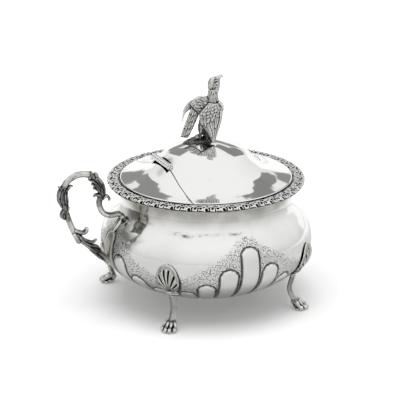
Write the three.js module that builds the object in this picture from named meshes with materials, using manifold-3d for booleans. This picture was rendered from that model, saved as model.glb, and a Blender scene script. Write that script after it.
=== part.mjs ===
// Parmesan cheese dish: a round silver bowl on four paw feet, with a scroll handle,
// a cast rim border, a glass liner and a domed lid that has a hinged flap and an
// eagle finial. Millimetres, +Z up, the table at z = 0. The handle is on the -X side.
import * as THREE from 'three';
import { mergeVertices } from 'three/addons/utils/BufferGeometryUtils.js';
import Module from 'manifold-3d';

const wasm = await Module();
wasm.setup();

// Placing of the whole dish: X of the bowl's axis, so that the dish is centred on X = 0
const bowlAxisX = 17;

// Clearances
const seatGap = 0.3;
const solderGap = 0.12;
const castingGap = 0.3;
const runningGap = 0.08;
const seamGap = 0.45;

// Bowl
const bowlWall = 1.0;
const bowlBottomZ = 10;
const bowlFootFlatRadius = 24;
const bowlBellyRadius = 69.9;
const bowlBellyZ = 42.5;
const bowlNeckRadius = 53.6;
const bowlTopZ = 81.2;
const flangeThickness = 0.9;
const flangeWidth = 10;
const flangeRadius = bowlNeckRadius + flangeWidth;

// Gadroons round the lower bowl, in four panels between the legs
const legCount = 4;
const firstLegDeg = -45;
const gadroonsPerPanel = 7;
const gadroonPitchDeg = 12;
const gadroonGrooveDeg = 2.3;
const gadroonRelief = 1.15;
const gadroonTopZ = [56.5, 44, 33.5, 26];
const gadroonInnerRadius = 27;
const gadroonArch = 4.6;

// Cast border on the rim
const borderOverhang = 1.4;
const borderWidth = 7.6;
const borderOuterRadius = flangeRadius + borderOverhang;
const borderInnerRadius = borderOuterRadius - borderWidth;
const borderThickness = 2.2;
const borderRelief = 0.75;
const borderLeaves = 36;

// Liner
const linerWall = 2.0;
const linerNeckGap = 0.7;
const linerMouthRadius = bowlNeckRadius - bowlWall - linerNeckGap;
const linerBottomZ = 17;
const linerBottomRadius = 33;
const linerRimGap = 0.6;
const linerFlangeRadius = borderInnerRadius - linerRimGap;
const linerFlangeThickness = 1.5;

// Lid
const lidWall = 0.85;
const lidRimGap = 1.0;
const lidRadius = borderInnerRadius - lidRimGap;
const lidDomeHeight = 24.2;
const bezelGap = 0.5;
const bezelRadius = linerMouthRadius - linerWall - bezelGap;
const bezelWall = 0.9;
const bezelDepth = 5.5;
const bezelEndGap = 1.6;

// Flap and hinge
const flapAzimuthDeg = 180;
const flapChord = 30.5;
const barrelLength = 26;
const barrelRadius = 2.1;
const barrelBore = 1.0;
const barrelOffset = 2.5;
const knuckleGap = 0.3;
const pinEndDepth = 0.6;

// Legs, midway between the handle and the sides; the left one stands further out
const kneeInset = 11.1;
const ankleInset = 7.3;
const leftKneeInset = 0.4;
const leftAnkleInset = 2.3;
const kneeRadius = bowlBellyRadius - kneeInset;
const ankleRadius = bowlBellyRadius - ankleInset;
const leftKneeRadius = bowlBellyRadius - leftKneeInset;
const leftAnkleRadius = bowlBellyRadius - leftAnkleInset;
const kneeZ = 14;
const ankleZ = 6.2;
const legWidth = 4.6;
const legDepth = 3.3;
const palmetteWidth = 15;
const palmetteTopZ = 50;
const palmetteWideZ = 36;
const palmetteBaseZ = 27.5;
const palmetteThickness = 2.3;
const pawLength = 9.5;
const pawWidth = 11;
const pawHeight = 6.2;
const toeRadius = 1.75;

// Handle: its reach beyond the bowl's belly and its height above its foot on the belly
const handleReach = 41;
const handleFootZ = 34;
const handleHeight = 66;
const handleBar = 4.2;

// Finial
const eagleTurnDeg = -24.3;
const eagleHeight = 44.5;
const studRadius = 1.5;
const studThreadLength = 7;
const studInFinial = 1.8;
const washerRadius = 4.5;
const washerThickness = 0.8;
const nutRadius = 3.6;
const nutHeight = 2.4;

// Finishes
const polishedSilver = { color: 0xd9dbdc, roughness: 0.08, metalness: 1 };
const antiqueSilver = { color: 0x9a9993, roughness: 0.38, metalness: 1 };
const clearGlass = { color: 0xdfe9ea, roughness: 0.05, metalness: 0, transparent: true, opacity: 0.35 };

const deg = Math.PI / 180;
const v2 = (x, y) => new THREE.Vector2(x, y);
const v3 = (x, y, z) => new THREE.Vector3(x, y, z);
const range = (count) => Array.from({ length: count }, (_, i) => i);
const sideways = v3(0, 1, 0);

// Solids and their surfaces

function signedVolume(position, index) {
  let sum = 0;
  const a = v3(), b = v3(), c = v3();
  for (let i = 0; i < index.count; i += 3) {
    a.fromBufferAttribute(position, index.getX(i));
    b.fromBufferAttribute(position, index.getX(i + 1));
    c.fromBufferAttribute(position, index.getX(i + 2));
    sum += a.dot(b.cross(c));
  }
  return sum / 6;
}

function closedGeometry(geometry) {
  const bare = geometry.clone();
  bare.deleteAttribute('normal');
  bare.deleteAttribute('uv');
  const merged = mergeVertices(bare, 1e-4);
  if (signedVolume(merged.attributes.position, merged.index) < 0) {
    const index = merged.index;
    for (let i = 0; i < index.count; i += 3) {
      const second = index.getX(i + 1);
      index.setX(i + 1, index.getX(i + 2));
      index.setX(i + 2, second);
    }
  }
  return merged;
}

function surface(positions, triangles) {
  const geometry = new THREE.BufferGeometry();
  geometry.setAttribute('position', new THREE.Float32BufferAttribute(positions, 3));
  geometry.setIndex(triangles);
  return closedGeometry(geometry);
}

function toSolid(geometry) {
  const closed = closedGeometry(geometry);
  const mesh = new wasm.Mesh({
    numProp: 3,
    vertProperties: new Float32Array(closed.attributes.position.array),
    triVerts: new Uint32Array(closed.index.array),
  });
  return new wasm.Manifold(mesh);
}

function toGeometry(solid) {
  const mesh = solid.getMesh();
  const geometry = new THREE.BufferGeometry();
  geometry.setAttribute('position', new THREE.BufferAttribute(new Float32Array(mesh.vertProperties), 3));
  geometry.setIndex(new THREE.BufferAttribute(new Uint32Array(mesh.triVerts), 1));
  geometry.computeVertexNormals();
  return geometry;
}

function fuse(geometries) {
  return geometries.map(toSolid).reduce((a, b) => a.add(b));
}

function largestPiece(solid) {
  return solid.decompose().reduce((a, b) => (a.volume() > b.volume() ? a : b));
}

// Faces between rings of equal length, one row after another
function bands(rings, rowCount) {
  const sides = rings[0].length;
  const triangles = [];
  for (let row = 0; row < rowCount; row++) {
    const nextRow = (row + 1) % rings.length;
    for (let side = 0; side < sides; side++) {
      const next = (side + 1) % sides;
      const a = row * sides + side;
      const b = row * sides + next;
      const c = nextRow * sides + side;
      const d = nextRow * sides + next;
      triangles.push(a, b, c, b, d, c);
    }
  }
  return triangles;
}

// A surface through rings, capped at both ends
function loft(rings) {
  const sides = rings[0].length;
  const positions = rings.flat().flatMap((point) => [point.x, point.y, point.z]);
  const triangles = bands(rings, rings.length - 1);
  const capEnd = (row, flip) => {
    const centre = v3();
    for (const point of rings[row]) centre.addScaledVector(point, 1 / sides);
    const hub = positions.length / 3;
    positions.push(centre.x, centre.y, centre.z);
    for (let side = 0; side < sides; side++) {
      const a = row * sides + side;
      const b = row * sides + ((side + 1) % sides);
      if (flip) triangles.push(hub, b, a);
      else triangles.push(hub, a, b);
    }
  };
  capEnd(0, true);
  capEnd(rings.length - 1, false);
  return surface(positions, triangles);
}

// A surface through rings that follow a closed path
function closedLoft(rings) {
  const positions = rings.flat().flatMap((point) => [point.x, point.y, point.z]);
  return surface(positions, bands(rings, rings.length));
}

// Value at share t of a list that is spread evenly from 0 to 1
function spread(list, t) {
  const place = t * (list.length - 1);
  const first = Math.min(Math.floor(place), list.length - 2);
  return THREE.MathUtils.lerp(list[first], list[first + 1], place - first);
}

const smoothPath = (points) => new THREE.CatmullRomCurve3(points, false, 'centripetal');

// An oval bar along a smooth path. Width is its half size across the plane of the path
// and depth its half size in that plane, both as lists spread along the path.
function bar(points, width, depth, steps, sides) {
  const path = smoothPath(points);
  return loft(range(steps + 1).map((step) => {
    const t = step / steps;
    const centre = path.getPoint(t);
    const tangent = path.getTangent(t);
    const side = sideways.clone().addScaledVector(tangent, -sideways.dot(tangent)).normalize();
    const normal = v3().crossVectors(tangent, side);
    return range(sides).map((k) => {
      const turn = (2 * Math.PI * k) / sides;
      return centre.clone()
        .addScaledVector(side, spread(width, t) * Math.cos(turn))
        .addScaledVector(normal, spread(depth, t) * Math.sin(turn));
    });
  }));
}

// A closed plate between two edge paths, with ridges along it like feathers side by side
function plate(left, right, feathers, thick, bulge, rows) {
  const leftPath = smoothPath(left);
  const rightPath = smoothPath(right);
  const columns = 2 * feathers;
  return loft(range(rows + 1).map((row) => {
    const from = leftPath.getPoint(row / rows);
    const to = rightPath.getPoint(row / rows);
    const face = (sign) => range(columns + 1).map((k) => {
      const share = k / columns;
      const ridge = thick * (k % 2 === 1 ? 1 : 0.5);
      const lift = sign * ridge - bulge * Math.sin(Math.PI * share);
      return from.clone().lerp(to, share).addScaledVector(sideways, lift);
    });
    return [...face(-1), ...face(1).reverse()];
  }));
}

function egg(centre, radii, turn, segments) {
  const geometry = new THREE.SphereGeometry(1, segments, Math.round(segments / 2));
  geometry.scale(radii.x, radii.y, radii.z);
  geometry.rotateY(turn);
  geometry.translate(centre.x, centre.y, centre.z);
  return geometry;
}

// A revolved outline of (radius, height) points about the Z axis
function revolve(outline, segments) {
  const geometry = new THREE.LatheGeometry(outline, segments);
  geometry.rotateX(Math.PI / 2);
  return closedGeometry(geometry);
}

// A tube with an open bore, centred on the Z axis
function tube(outer, bore, lowZ, highZ, segments) {
  const outline = [v2(bore, lowZ), v2(outer, lowZ), v2(outer, highZ), v2(bore, highZ), v2(bore, lowZ)];
  return revolve(outline, segments);
}

function rod(radius, lowZ, highZ, segments) {
  return revolve([v2(0, lowZ), v2(radius, lowZ), v2(radius, highZ), v2(0, highZ)], segments);
}

// Height along an outline of (radius, height) points at a radius, and the reverse
function heightAt(outline, radius) {
  for (let i = 0; i + 1 < outline.length; i++) {
    const a = outline[i], b = outline[i + 1];
    if (radius >= a.x && radius <= b.x && b.x > a.x) {
      return THREE.MathUtils.lerp(a.y, b.y, (radius - a.x) / (b.x - a.x));
    }
  }
  return outline[outline.length - 1].y;
}

function radiusAt(outline, height) {
  for (let i = 0; i + 1 < outline.length; i++) {
    const a = outline[i], b = outline[i + 1];
    if (height >= a.y && height <= b.y && b.y > a.y) {
      return THREE.MathUtils.lerp(a.x, b.x, (height - a.y) / (b.y - a.y));
    }
  }
  return height < outline[0].y ? outline[0].x : outline[outline.length - 1].x;
}

function smoothOutline(points, count) {
  return new THREE.SplineCurve(points).getPoints(count);
}

// Bowl outline, from the edge of its flat bottom up to the neck
const belly = (share) => bowlFootFlatRadius + share * (bowlBellyRadius - bowlFootFlatRadius);
const low = (share) => bowlBottomZ + share * (bowlBellyZ - bowlBottomZ);
const high = (share) => bowlBellyZ + share * (bowlTopZ - bowlBellyZ);
const neck = (share) => bowlNeckRadius + share * (bowlBellyRadius - bowlNeckRadius);
const bowlOutline = smoothOutline([
  v2(bowlFootFlatRadius, bowlBottomZ),
  v2(belly(0.2), low(0.05)),
  v2(belly(0.38), low(0.14)),
  v2(belly(0.54), low(0.24)),
  v2(belly(0.7), low(0.37)),
  v2(belly(0.83), low(0.51)),
  v2(belly(0.93), low(0.67)),
  v2(belly(0.985), low(0.84)),
  v2(bowlBellyRadius, bowlBellyZ),
  v2(neck(0.96), high(0.16)),
  v2(neck(0.84), high(0.3)),
  v2(neck(0.63), high(0.43)),
  v2(neck(0.38), high(0.53)),
  v2(neck(0.17), high(0.62)),
  v2(neck(0.04), high(0.73)),
  v2(bowlNeckRadius, high(0.86)),
  v2(bowlNeckRadius, bowlTopZ),
], 64);
const flangeTopZ = bowlTopZ + flangeThickness;

// Length along the bowl's outline up to the last point that the test holds for, and the
// place and outward direction at a length
const outlineSteps = bowlOutline.slice(1).map((p, i) => p.distanceTo(bowlOutline[i]));

function lengthTo(test) {
  const last = bowlOutline.findIndex((p) => !test(p));
  return outlineSteps.slice(0, last).reduce((sum, step) => sum + step, 0);
}

function alongOutline(length) {
  let i = 0;
  let left = length;
  while (left > outlineSteps[i] && i + 1 < outlineSteps.length) left -= outlineSteps[i++];
  const a = bowlOutline[i], b = bowlOutline[i + 1];
  const along = b.clone().sub(a).normalize();
  return { place: a.clone().addScaledVector(along, left), out: v2(along.y, -along.x) };
}

// Lid outline, from the top of the dome down the crown and out along the skirt
const lidEdgeZ = flangeTopZ + seatGap + linerFlangeThickness + seatGap;
const lidTopZ = lidEdgeZ + lidWall + lidDomeHeight;
const onDome = (reach, rise) => v2(reach * lidRadius, lidEdgeZ + lidWall + rise * lidDomeHeight);
const crownPoints = 6;
const lidOutline = [
  onDome(0, 1),
  onDome(0.14, 0.973),
  onDome(0.28, 0.888),
  onDome(0.4, 0.785),
  onDome(0.47, 0.7),
  onDome(0.541, 0.535),
  onDome(0.605, 0.395),
  onDome(0.685, 0.245),
  onDome(0.8, 0.12),
  onDome(1, 0),
];

// Gadrooned bowl

// The columns of the bowl's surface, counted from the first leg. Each gadroon has its own
// columns from edge to edge (share -1 to 1), and the strips between gadroons and behind
// the legs are plain.
function gadroonColumns() {
  const panel = 360 / legCount;
  const margin = (panel - gadroonsPerPanel * gadroonPitchDeg) / 2;
  const middle = (gadroonsPerPanel - 1) / 2;
  const half = (gadroonPitchDeg - gadroonGrooveDeg) / 2;
  const columns = [];
  for (const p of range(legCount)) {
    columns.push({ turn: p * panel * deg, share: -1, topZ: gadroonTopZ[gadroonTopZ.length - 1] });
    for (const g of range(gadroonsPerPanel)) {
      const centre = p * panel + margin + (g + 0.5) * gadroonPitchDeg;
      const rank = Math.min(Math.round(Math.abs(g - middle)), gadroonTopZ.length - 1);
      for (const share of [-1, -0.75, 0, 0.75, 1]) {
        columns.push({ turn: (centre + share * half) * deg, share, topZ: gadroonTopZ[rank] });
      }
    }
  }
  return columns;
}

// Rings of points that make the bowl's skin, from the bottom outside to the bottom inside
function bowlRings() {
  const columns = gadroonColumns();
  const spot = (turn, radius, z) => v3(radius * Math.cos(turn), radius * Math.sin(turn), z);
  const innerLength = lengthTo((p) => p.x < gadroonInnerRadius);
  const clearZ = Math.max(...gadroonTopZ) + gadroonArch / 2;
  const archZ = (column) => column.topZ - gadroonArch * (1 - Math.sqrt(1 - column.share ** 2));
  const rings = [];
  const gadroonRows = [[0, 0], [0.2, 0.7], [0.38, 1], [0.56, 1], [0.74, 1], [0.92, 0.9], [1, 0]];
  for (const [row, fullness] of gadroonRows) {
    rings.push(columns.map((column) => {
      const archLength = lengthTo((p) => p.y < archZ(column));
      const { place, out } = alongOutline(THREE.MathUtils.lerp(innerLength, archLength, row));
      const lift = gadroonRelief * fullness * Math.sqrt(1 - column.share ** 2);
      return spot(column.turn, place.x + out.x * lift, place.y + out.y * lift);
    }));
  }
  const plainRows = [0.35, 0.7, 1];
  for (const row of plainRows) {
    rings.push(columns.map((column) => {
      const z = THREE.MathUtils.lerp(archZ(column), clearZ, row);
      return spot(column.turn, radiusAt(bowlOutline, z), z);
    }));
  }
  const plainSides = 36;
  const ring = (radius, z) => {
    rings.push(range(plainSides).map((i) => spot((2 * Math.PI * i) / plainSides, radius, z)));
  };
  for (const share of [0.5, 0.6, 0.75]) {
    ring(radiusAt(bowlOutline, high(share)), high(share));
  }
  ring(bowlNeckRadius, bowlTopZ);
  ring(flangeRadius, bowlTopZ);
  ring(flangeRadius, flangeTopZ);
  ring(bowlNeckRadius - bowlWall, flangeTopZ);
  const lowestArchZ = Math.min(...columns.map(archZ));
  const insideZ = plainRows.toReversed().map((row) => THREE.MathUtils.lerp(lowestArchZ, clearZ, row));
  for (const z of [high(0.75), high(0.6), ...insideZ, lowestArchZ, low(0.17), low(0.04)]) {
    const { place, out } = alongOutline(lengthTo((p) => p.y < z));
    ring(place.x - out.x * bowlWall, place.y - out.y * bowlWall);
  }
  return rings;
}

// The bowl's skin: neighbouring rings may have different columns, so the faces between
// them step round by angle
function bowlGeometry() {
  const all = bowlRings();
  const positions = all.flat().flatMap((point) => [point.x, point.y, point.z]);
  const triangles = [];
  const start = [0];
  for (const ring of all) start.push(start[start.length - 1] + ring.length);
  const angleOf = (point) => (Math.atan2(point.y, point.x) + 2 * Math.PI + 1e-6) % (2 * Math.PI);
  for (let row = 0; row + 1 < all.length; row++) {
    const a = all[row], b = all[row + 1];
    const turnA = a.map(angleOf), turnB = b.map(angleOf);
    turnA.push(2 * Math.PI + turnA[0]);
    turnB.push(2 * Math.PI + turnB[0]);
    let i = 0, j = 0;
    while (i < a.length || j < b.length) {
      const stepA = i < a.length && (j >= b.length || turnA[i + 1] <= turnB[j + 1] + 1e-9);
      const pa = start[row] + (i % a.length);
      const pb = start[row + 1] + (j % b.length);
      if (stepA) {
        triangles.push(pa, start[row] + ((i + 1) % a.length), pb);
        i++;
      } else {
        triangles.push(pa, start[row + 1] + ((j + 1) % b.length), pb);
        j++;
      }
    }
  }
  const pole = (row, z, flip) => {
    const hub = positions.length / 3;
    positions.push(0, 0, z);
    for (let i = 0; i < all[row].length; i++) {
      const p = start[row] + i;
      const q = start[row] + ((i + 1) % all[row].length);
      if (flip) triangles.push(hub, q, p);
      else triangles.push(hub, p, q);
    }
  };
  pole(0, bowlBottomZ, true);
  pole(all.length - 1, bowlBottomZ + bowlWall, false);
  return surface(positions, triangles).rotateZ(firstLegDeg * deg);
}

// Border: a cast ring of leaves on the flange, with a crest in the middle of each leaf
function borderGeometry() {
  const base = flangeTopZ + solderGap;
  const count = 2 * borderLeaves;
  return closedLoft(range(count).map((i) => {
    const turn = (2 * Math.PI * i) / count;
    const crest = i % 2 === 0 ? 1 : -1;
    const point = (reach, rise, swell) => {
      const radius = borderInnerRadius + reach * borderWidth + swell * crest * borderRelief;
      return v3(radius * Math.cos(turn), radius * Math.sin(turn), base + rise * borderThickness);
    };
    const top = 1 + (crest > 0 ? borderRelief / borderThickness : 0);
    return [
      point(0, 0, 0),
      point(0.92, 0, 0),
      point(1, 0.5, 0.3),
      point(0.6, top, 0.25),
      point(0.08, 0.9, 0),
    ];
  }));
}

// Liner: a glass bowl that hangs by its flange in the neck
const linerTopZ = flangeTopZ + seatGap + linerFlangeThickness;
const linerOutline = smoothOutline([
  v2(linerBottomRadius, linerBottomZ),
  v2(linerBottomRadius + 8, linerBottomZ + 4),
  v2(linerMouthRadius - 4, linerBottomZ + 14),
  v2(linerMouthRadius, linerBottomZ + 30),
  v2(linerMouthRadius, linerTopZ - linerFlangeThickness - 2),
], 4);

function linerGeometry() {
  const flangeLowZ = linerTopZ - linerFlangeThickness;
  const outer = [v2(0, linerBottomZ), ...linerOutline];
  outer.push(v2(linerMouthRadius, flangeLowZ));
  outer.push(v2(linerFlangeRadius, flangeLowZ));
  outer.push(v2(linerFlangeRadius, linerTopZ));
  const inner = linerOutline.map((p) => v2(p.x - linerWall, p.y + linerWall * 0.4)).reverse();
  inner[inner.length - 1].y = linerBottomZ + linerWall;
  const mouth = v2(linerMouthRadius - linerWall * 0.7, linerTopZ);
  return revolve([...outer, mouth, ...inner, v2(0, linerBottomZ + linerWall)], 28);
}

// Lid: dome, flap and bezel
const flapTurn = flapAzimuthDeg * deg;
const hingeZ = heightAt(lidOutline, flapChord);
const lidSegments = 36;

// The underside follows every point of the skirt and every second one of the crown
const lidUnderside = lidOutline
  .filter((p, i) => i % 2 === 0 || i > crownPoints)
  .map((p) => v2(p.x, p.y - lidWall));

function domeGeometry() {
  return revolve([...lidOutline, ...lidUnderside.toReversed()], lidSegments);
}

// A block whose low X face is at the given place, tall and wide enough to take in the lid
function beyondChord(from) {
  const reach = 2 * lidRadius;
  const block = new THREE.BoxGeometry(reach, 2 * reach, 2 * reach);
  block.translate(from + reach / 2, 0, lidEdgeZ);
  block.rotateZ(flapTurn);
  return block;
}

// Along the hinge axis: local Z becomes the chord direction
function onHinge(geometry) {
  geometry.rotateX(Math.PI / 2);
  geometry.translate(flapChord, -barrelOffset, hingeZ);
  geometry.rotateZ(flapTurn);
  return geometry;
}

const barrelHalf = barrelLength / 2;
const dome = toSolid(domeGeometry());
const notch = toSolid(onHinge(rod(barrelRadius + seatGap, -barrelHalf - seatGap, barrelHalf + seatGap, 16)));
const studHole = toSolid(rod(studRadius + runningGap, lidEdgeZ, lidTopZ + seatGap, 16));

function lidShellGeometry() {
  const cut = toSolid(beyondChord(flapChord - seamGap / 2));
  return toGeometry(dome.subtract(cut).subtract(notch).subtract(studHole));
}

function flapGeometry() {
  const keep = toSolid(beyondChord(flapChord + seamGap / 2));
  return toGeometry(dome.intersect(keep).subtract(notch));
}

function bezelGeometry() {
  const topZ = heightAt(lidUnderside, bezelRadius) - solderGap;
  const ring = tube(bezelRadius, bezelRadius - bezelWall, lidEdgeZ - bezelDepth, topZ, lidSegments);
  return toGeometry(toSolid(ring).subtract(toSolid(beyondChord(flapChord - bezelEndGap))));
}

const knuckleLength = (barrelLength - 2 * knuckleGap) / 3;

function knuckleGeometry(place) {
  const middle = place * (knuckleLength + knuckleGap);
  return onHinge(tube(barrelRadius, barrelBore, middle - knuckleLength / 2, middle + knuckleLength / 2, 12));
}

function pinGeometry() {
  return onHinge(rod(barrelBore - runningGap, pinEndDepth - barrelHalf, barrelHalf - pinEndDepth, 12));
}

// Legs, made on the +X side and turned to their places

// The leaf that joins a leg to the bowl, with flutes that fan out from its root;
// grow fattens it all round
function palmetteGeometry(grow) {
  const rows = 6;
  const ribs = 6;
  const profile = new THREE.SplineCurve([
    v2(palmetteBaseZ - 0.24 * palmetteWidth, palmetteWidth * 0.15),
    v2(palmetteBaseZ, palmetteWidth * 0.24),
    v2(THREE.MathUtils.lerp(palmetteBaseZ, palmetteWideZ, 0.4), palmetteWidth * 0.4),
    v2(palmetteWideZ, palmetteWidth / 2),
    v2(THREE.MathUtils.lerp(palmetteWideZ, palmetteTopZ, 0.42), palmetteWidth * 0.42),
    v2(THREE.MathUtils.lerp(palmetteWideZ, palmetteTopZ, 0.78), palmetteWidth * 0.24),
    v2(palmetteTopZ + grow, palmetteWidth * 0.04),
  ]);
  return loft(range(rows + 1).map((row) => {
    const spot = profile.getPoint(row / rows);
    const seat = radiusAt(bowlOutline, spot.x) + castingGap;
    const swell = 0.35 + 0.65 * Math.sin(Math.PI * Math.min(1, (row + 0.7) / (rows + 0.7)));
    const lay = (share, lift) => {
      const turn = (share * (spot.y + grow)) / seat;
      return v3((seat + lift) * Math.cos(turn), (seat + lift) * Math.sin(turn), spot.x);
    };
    const front = range(ribs + 1).map((k) => {
      const share = (2 * k) / ribs - 1;
      const flute = k % 2 === 0 ? 1 : 0.55;
      return lay(share, palmetteThickness * swell * (1 - 0.6 * share * share) * flute + grow);
    });
    return [...front, lay(1, 0), lay(0, 0), lay(-1, 0)];
  }));
}

// Four toes that spread from the ankle, and the pad under them
function pawGeometries(heel) {
  const toeCount = 4;
  const toes = range(toeCount).map((i) => {
    const share = i / (toeCount - 1) - 0.5;
    const side = share * (pawWidth - 2 * toeRadius);
    const reach = pawLength * (0.93 - 1.1 * share * share);
    return bar([
      v3(heel - 0.5 * toeRadius, side * 0.3, ankleZ - 0.5 * toeRadius),
      v3(heel + 0.42 * reach, side * 0.85, pawHeight * 0.66),
      v3(heel + 0.8 * reach, side, toeRadius * 1.25),
      v3(heel + reach, side * 1.05, toeRadius * 0.55),
    ], [0.63, 0.86, 0.88, 0.4].map((r) => r * toeRadius),
    [0.74, 0.91, 1, 0.34].map((r) => r * toeRadius), 3, 5);
  });
  const pad = v3(pawLength * 0.42, pawWidth * 0.4, pawHeight * 0.42);
  return [...toes, egg(v3(heel + 0.36 * pawLength, 0, pawHeight * 0.34), pad, 0, 8)];
}

const tableReach = 3 * bowlBellyRadius;
const tableBlock = toSolid(new THREE.BoxGeometry(tableReach, tableReach, 20).translate(0, 0, -10));

// The room that the bowl takes from a casting on it, relief out from its plain outline
function seatOnBowl(relief) {
  return toSolid(revolve([
    v2(0, bowlBottomZ - seatGap),
    ...bowlOutline.filter((p, i) => i % 2 === 0).map((p) => v2(
      p.x + castingGap + (p.y < gadroonTopZ[0] ? relief : 0),
      p.y,
    )),
    v2(0, bowlTopZ),
  ], 72));
}

const bowlSeat = seatOnBowl(0);
const gadroonSeat = seatOnBowl(gadroonRelief);

// The bar of a leg, from the palmette down to the ankle; grow fattens it all round
function shankGeometry(knee, ankle, grow) {
  const topZ = palmetteBaseZ - 0.24 * palmetteWidth;
  const topRadius = radiusAt(bowlOutline, topZ) + 0.6 * legDepth;
  const halves = (shares, size) => shares.map((share) => share * size + grow);
  return bar([
    v3(topRadius + 0.36 * legDepth, 0, palmetteBaseZ - 0.5),
    v3(topRadius, 0, topZ),
    v3(THREE.MathUtils.lerp(topRadius, knee, 0.66), 0, THREE.MathUtils.lerp(kneeZ, topZ, 0.6)),
    v3(knee, 0, kneeZ),
    v3(THREE.MathUtils.lerp(knee, ankle, 0.3), 0, THREE.MathUtils.lerp(kneeZ, ankleZ, 0.56)),
    v3(ankle, 0, ankleZ),
    v3(ankle + 0.66 * legDepth, 0, ankleZ - 0.6 * legDepth),
  ], halves([0.57, 0.5, 0.5, 0.57, 0.65], legWidth), halves([0.45, 0.5, 0.5, 0.52, 0.57], legDepth), 7, 6);
}

function legGeometry(knee, ankle, turnDeg) {
  const collarZ = palmetteBaseZ - 0.12 * palmetteWidth;
  const collar = egg(
    v3(radiusAt(bowlOutline, collarZ) + 0.64 * legDepth, 0, collarZ),
    v3(0.5 * legDepth, 0.9 * legWidth, 0.3 * legDepth),
    -0.75,
    6,
  );
  const leg = fuse([shankGeometry(knee, ankle, 0), collar])
    .subtract(bowlSeat)
    .add(fuse([palmetteGeometry(0), ...pawGeometries(ankle)]))
    .subtract(tableBlock);
  const geometry = toGeometry(largestPiece(leg));
  geometry.rotateZ(turnDeg * deg);
  return geometry;
}

// Handle: a scroll in the XZ plane on the -X side, with leaves wrapped round it. Places
// are percent of its reach beyond the belly and of its height above its foot.
function onHandle([out, up]) {
  return v3(-(bowlBellyRadius + (out * handleReach) / 100), 0, handleFootZ + (up * handleHeight) / 100);
}

function handleGeometry() {
  const parts = [];
  // Half sizes are shares of the bar's thickness
  const stroke = (points, thick, wide, steps, sides) => {
    const scaled = (shares) => shares.map((share) => share * handleBar);
    parts.push(bar(points, scaled(wide), scaled(thick), steps, sides));
  };
  const leaf = (places, thick, wide, steps = 3) => {
    const wides = [0.8 * wide, wide, 0.85 * wide, 0.35 * wide];
    const thicks = [0.7 * thick, thick, 0.9 * thick, 0.3 * thick];
    stroke(places.map(onHandle), thicks, wides, steps, 4);
  };

  // The bar of the scroll, from the shoulder up and over and down to the belly
  stroke([
    [-31, 42], [-24, 48], [-18, 51], [-9, 50], [-1, 51], [7, 54], [12, 59], [14, 65], [12, 70],
    [11, 75], [12, 83], [18, 90], [25, 93], [33, 96], [43, 97], [51, 97], [61, 94], [69, 91],
    [73, 85], [76, 78], [74, 70], [71, 61], [66, 51], [61, 42], [54, 36], [44, 29], [34, 23],
    [23, 17], [12, 11], [4, 6], [-3, 0],
  ].map(onHandle), [0.52, 0.48, 0.53, 0.48, 0.5, 0.5], [0.62, 0.5, 0.56, 0.52, 0.55, 0.5], 37, 6);

  // The knob and the small leaf at its end on the shoulder
  const knob = (place, size) => {
    const radius = size * handleBar;
    parts.push(egg(onHandle(place), v3(radius, 1.4 * radius, radius), 0, 8));
  };
  knob([-23, 47], 0.5);
  leaf([[-25, 48], [-19, 43], [-14, 38], [-10, 33]], 0.36, 0.66);

  // Leaves that clasp its outer bend
  leaf([[74, 87], [79, 82], [80, 77], [79, 71], [76, 66]], 0.54, 0.72);
  leaf([[76, 85], [79, 86], [82, 87]], 0.32, 0.55, 2);
  leaf([[69, 83], [70, 77], [69, 71], [67, 66]], 0.48, 0.7);
  leaf([[67, 82], [66, 85], [62, 87], [57, 87]], 0.38, 0.66);
  leaf([[67, 66], [73, 62], [77, 59], [75, 56], [72, 53]], 0.52, 0.7);
  leaf([[67, 66], [68, 62], [72, 58], [73, 54]], 0.38, 0.68);

  // The leaf on its lower bend: a curl up, a curl down and ribs along the bar
  leaf([[57, 40], [49, 37], [42, 36], [37, 38], [36, 41]], 0.44, 0.68, 4);
  leaf([[58, 37], [53, 33], [50, 29], [50, 26]], 0.52, 0.68);
  leaf([[53, 35], [44, 31], [35, 27], [25, 25], [19, 28]], 0.33, 0.7);
  leaf([[50, 33], [39, 26], [29, 22], [17, 20], [11, 14]], 0.33, 0.78);
  leaf([[29, 16], [21, 11], [15, 8], [9, 5]], 0.32, 0.64);

  // The blossom on its upper bend: two knobs, a fan of petals and two curls
  knob([18, 94], 0.42);
  knob([28, 97], 0.28);
  leaf([[17, 92], [11, 85], [6, 79], [3, 72]], 0.45, 0.74);
  leaf([[31, 91], [23, 88], [16, 83], [8, 75]], 0.33, 0.76);
  leaf([[23, 84], [16, 79], [10, 74]], 0.36, 0.7);
  leaf([[10, 67], [14, 73], [20, 74], [24, 72]], 0.38, 0.6);
  leaf([[9, 67], [4, 70], [0, 71], [-4, 67], [-3, 65]], 0.33, 0.56, 4);

  return toGeometry(largestPiece(fuse(parts).subtract(gadroonSeat)));
}

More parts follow.
